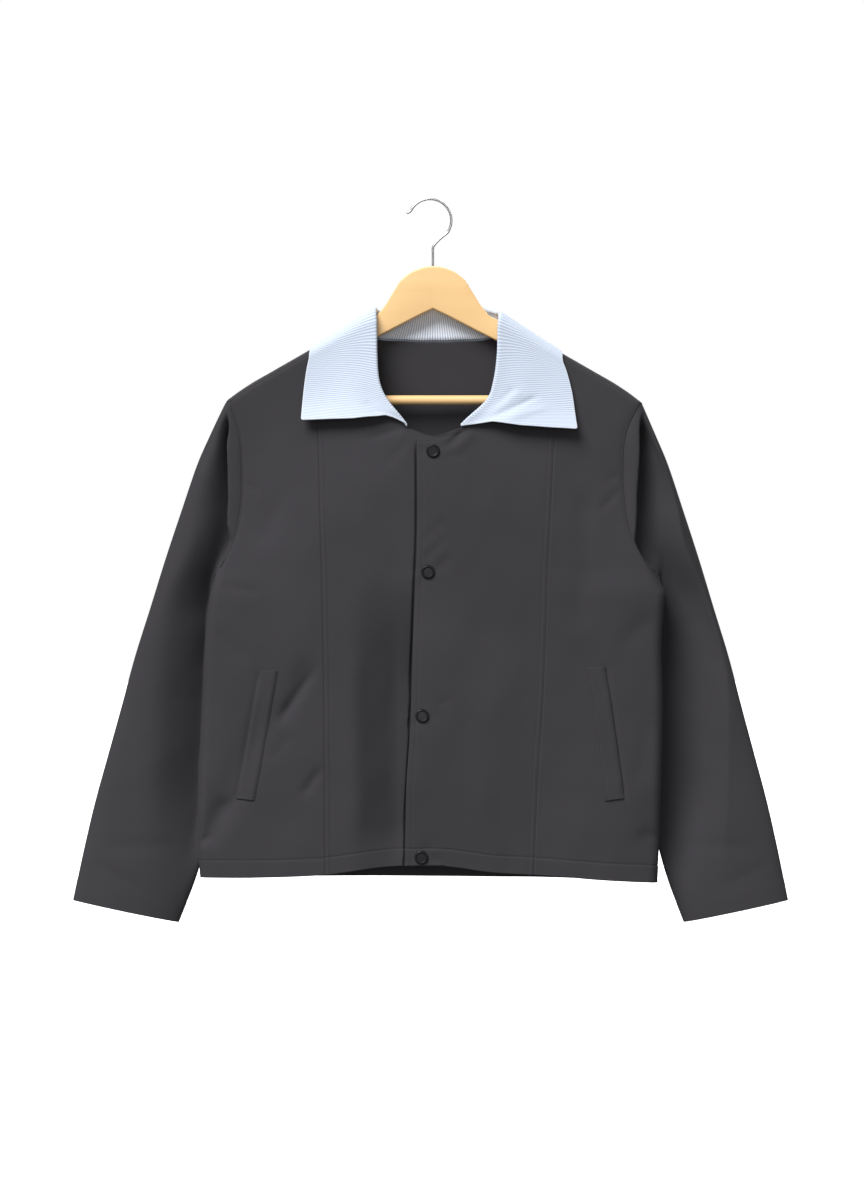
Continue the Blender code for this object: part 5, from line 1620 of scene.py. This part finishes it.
class Finish:
    """A material with one Principled shader and the nodes that feed it."""

    def __init__(self, name, **constants):
        self.material = bpy.data.materials.new(name)
        self.material.use_nodes = True
        self.tree = self.material.node_tree
        self.shader = self.tree.nodes["Principled BSDF"]
        for socket, number in constants.items():
            self.shader.inputs[socket.replace("_", " ")].default_value = number

    def node(self, kind, settings=None, sockets=None, output=0):
        """Adds a node: its settings first, then the values or links of its sockets."""
        made = self.tree.nodes.new(kind)
        for key, setting in (settings or {}).items():
            setattr(made, key, setting)
        for key, value in (sockets or {}).items():
            if isinstance(value, Value):
                self.tree.links.new(value.socket, made.inputs[key])
            else:
                made.inputs[key].default_value = value
        return Value(self, made.outputs[output])

    def math(self, operation, *values):
        """A Math node on values and numbers."""
        return self.node("ShaderNodeMath", {"operation": operation}, dict(enumerate(values)))

    def place(self):
        """Place on the piece, in its own frame."""
        return self.node("ShaderNodeTexCoord", output=3)

    def weave(self):
        """Place on the cloth's own map, and its two numbers."""
        place = self.node("ShaderNodeUVMap", {"uv_map": "weave"})
        return [place] + [self.node("ShaderNodeSeparateXYZ", None, {"Vector": place}, k) for k in (0, 1)]

    def number(self, name):
        """One of the piece's named numbers."""
        return self.node("ShaderNodeAttribute", {"attribute_name": name}, output=2)

    def stretched(self, vector, scale):
        """A vector scaled by its own number in each direction."""
        return self.node("ShaderNodeMapping", None, {"Vector": vector, "Scale": scale})

    def feed(self, socket, value):
        """Links a value to one of the shader's sockets."""
        self.tree.links.new(value.socket, self.shader.inputs[socket])

    def wave(self, value, pitch):
        """Sine of a place with a pitch, in the same unit, from -1 to 1."""
        return (value * (TURN / pitch)).math("SINE")

    def noise(self, vector, scale, detail):
        """Noise from 0 to 1."""
        sockets = {"Vector": vector, "Scale": scale, "Detail": detail}
        return self.node("ShaderNodeTexNoise", None, sockets)

    def blend(self, factor, first, second):
        """Mix of two colours by a factor. A colour is three numbers or a value."""
        first, second = [c if isinstance(c, Value) else (*c, 1) for c in (first, second)]
        return self.node("ShaderNodeMix", {"data_type": "RGBA"}, {0: factor, 6: first, 7: second}, 2)

    def bump(self, height, strength, distance):
        """Feeds a bump of the height to the shader's normal."""
        sockets = {"Height": height, "Strength": strength, "Distance": distance}
        self.feed("Normal", self.node("ShaderNodeBump", None, sockets))


def charcoal_cloth():
    """Fine charcoal twill: slanted ribs of thread, a little fibre and slow uneven dye."""
    finish = Finish(
        "charcoal_twill", Roughness=0.86, Sheen_Weight=0.03, Sheen_Roughness=0.4,
        Specular_IOR_Level=0.1,
    )
    weave, u, v = finish.weave()
    ribs = finish.wave(u + v * 0.8, 0.0011)
    threads = finish.wave(u, 0.0007) * finish.wave(v, 0.0009)
    fibre = finish.noise(weave, 1400.0, 3.0)
    dye = finish.noise(finish.place(), 9.0, 3.0)
    tone = 0.5 + ribs * 0.16 + threads * 0.1 + (fibre - 0.5) * 0.5 + (dye - 0.5) * 0.5
    finish.feed("Base Color", finish.blend(tone, (0.034, 0.0325, 0.036), (0.055, 0.0525, 0.058)))
    finish.feed("Roughness", 0.8 + fibre * 0.14)
    finish.bump(ribs * 0.5 + threads * 0.35 + fibre * 0.5, 0.35, 0.00012)
    return finish.material


def striped_cloth():
    """White shirting with fine blue-grey stripes. Along its turned rim the stripes fade out to the plain
    ground, which also serves as a painted highlight on that edge. On the stand the ground is painted
    whiter, as painted light against the hanger's shade.
    """
    finish = Finish(
        "striped_shirting", Roughness=0.85, Sheen_Weight=0.1, Sheen_Roughness=0.5,
        Specular_IOR_Level=0.25,
    )
    weave, u, v = finish.weave()
    wobble = finish.noise(weave, 160.0, 2.0)
    line = finish.wave(finish.number("stripe") + (wobble - 0.5) * 0.7, STRIPE_PITCH) * 0.5 + 0.5
    line = line.math("POWER", 1.6)
    broken = finish.noise(weave, 700.0, 2.0)
    # Near the rim the stripes fade out: partly the plain turned edge, partly a painted highlight along it
    inside = ((finish.number("rim") - 0.5) / 0.9).math("MINIMUM", 1.0).math("MAXIMUM", 0.0)
    # Painted light: the stand's ground is painted whiter than the leaves' to lift it out of the hanger's
    # shade
    ground_with_painted_stand_light = finish.blend(finish.number("stand"), (0.67, 0.725, 0.80), (0.9, 0.93, 0.98))
    factor = line * inside * (0.55 + broken * 0.5)
    finish.feed("Base Color", finish.blend(factor, ground_with_painted_stand_light, (0.31, 0.40, 0.58)))
    threads = finish.wave(u, 0.0006) * finish.wave(v, 0.0006)
    finish.feed("Roughness", 0.8 + broken * 0.12)
    finish.bump(threads * 0.4 + broken * 0.5 - line * 0.6, 0.3, 0.00015)
    return finish.material


def pale_wood():
    """Pale wood under clear satin lacquer: soft lengthwise grain with fine pores."""
    finish = Finish("lacquered_wood", Roughness=0.45, Coat_Weight=0.15, Coat_Roughness=0.3)
    place = finish.place()
    grain = finish.noise(finish.stretched(place, (5.0, 60.0, 60.0)), 1.6, 4.0)
    pores = finish.noise(finish.stretched(place, (40.0, 900.0, 900.0)), 1.0, 2.0)
    tone = 0.5 + (grain - 0.5) * 0.9 + (pores - 0.5) * 0.25
    finish.feed("Base Color", finish.blend(tone, (0.83, 0.51, 0.21), (0.93, 0.64, 0.31)))
    finish.feed("Roughness", 0.38 + pores * 0.16)
    finish.bump(pores * 0.6 + grain * 0.4, 0.08, 0.0002)
    return finish.material


def mottled(name, noise, colours, gloss, bump, **constants):
    """A plain finish with its colour, gloss and bump, a tenth of a millimetre deep, all mottled by one
    noise. Noise is scale and detail, gloss is the least roughness and what the noise adds, or nothing."""
    finish = Finish(name, **constants)
    spots = finish.noise(finish.place(), *noise)
    finish.feed("Base Color", finish.blend(spots, *colours))
    if gloss:
        finish.feed("Roughness", gloss[0] + spots * gloss[1])
    finish.bump(spots, bump, 0.0001)
    return finish.material


def studio():
    """White surroundings, a pale floor under the jacket, three broad soft lights and the camera."""
    scene = bpy.context.scene
    world = bpy.data.worlds.new("studio")
    world.use_nodes = True
    nodes = world.node_tree.nodes
    links = world.node_tree.links
    seen = nodes.new("ShaderNodeLightPath")
    strength = nodes.new("ShaderNodeMapRange")
    strength.inputs["To Min"].default_value = SURROUNDINGS_LIGHT
    strength.inputs["To Max"].default_value = 1.0
    links.new(seen.outputs["Is Camera Ray"], strength.inputs["Value"])
    nodes["Background"].inputs["Color"].default_value = (1, 1, 1, 1)
    links.new(strength.outputs["Result"], nodes["Background"].inputs["Strength"])
    scene.world = world

    mesh = bpy.data.meshes.new("floor")
    corners = [(x * FLOOR_HALF, y * FLOOR_HALF, FLOOR_Z) for x, y in ((-1, -1), (1, -1), (1, 1), (-1, 1))]
    mesh.from_pydata(corners, [], [(0, 1, 2, 3)])
    pale = Finish(
        "pale_floor", Roughness=0.9, Base_Color=FLOOR_WHITE, Emission_Color=FLOOR_WHITE,
        Emission_Strength=0.3,
    )
    mesh.materials.append(pale.material)
    floor = bpy.data.objects.new("floor", mesh)
    floor.visible_diffuse = False
    floor.visible_glossy = False
    scene.collection.objects.link(floor)

    for name, (power, breadth, turn) in LIGHTS.items():
        light = bpy.data.lights.new(name, "SUN")
        light.energy = power
        light.angle = np.radians(breadth)
        lamp = bpy.data.objects.new(name, light)
        lamp.rotation_euler = np.radians(turn).tolist()
        scene.collection.objects.link(lamp)

    camera = bpy.data.objects.new("camera", bpy.data.cameras.new("camera"))
    camera.location = (CAMERA_X, -CAMERA_AWAY, CAMERA_Z)
    camera.rotation_euler = (np.pi / 2, 0, 0)
    camera.data.lens = HALF_SENSOR * CAMERA_AWAY / CAMERA_HALF_VIEW
    scene.collection.objects.link(camera)
    scene.camera = camera
    scene.view_settings.view_transform = "Standard"


CHARCOAL = charcoal_cloth()
# Dark twisted sewing thread
THREAD = mottled(
    "sewing_thread", (2500.0, 1.0), ((0.024, 0.023, 0.026), (0.05, 0.048, 0.053)), None, 0.3,
    Roughness=0.6, Specular_IOR_Level=0.35,
)
STRIPED = striped_cloth()
# Black painted metal, satin, with a little wear in its gloss
SNAP = mottled(
    "snap_paint", (420.0, 3.0), ((0.009, 0.009, 0.011), (0.018, 0.018, 0.02)), (0.2, 0.1), 0.06,
    Roughness=0.24, Specular_IOR_Level=0.13,
)
WOOD = pale_wood()
# Bright drawn wire with faint marks
WIRE = mottled(
    "drawn_wire", (700.0, 3.0), ((0.5, 0.5, 0.52), (0.68, 0.68, 0.7)), (0.2, 0.14), 0.05,
    Metallic=1.0, Roughness=0.25,
)

hanger_body()
hanger_bar()
hanger_hook()
back()
for side_name, hand in (("right", -1), ("left", 1)):
    front_centre(side_name, hand)
    front_side(side_name, hand)
    sleeve(side_name, hand)
collar()
welt("right", WELT_RIGHT)
welt("left", WELT_LEFT)
for number, place in enumerate(SNAPS, 1):
    snap(number, place)
studio()
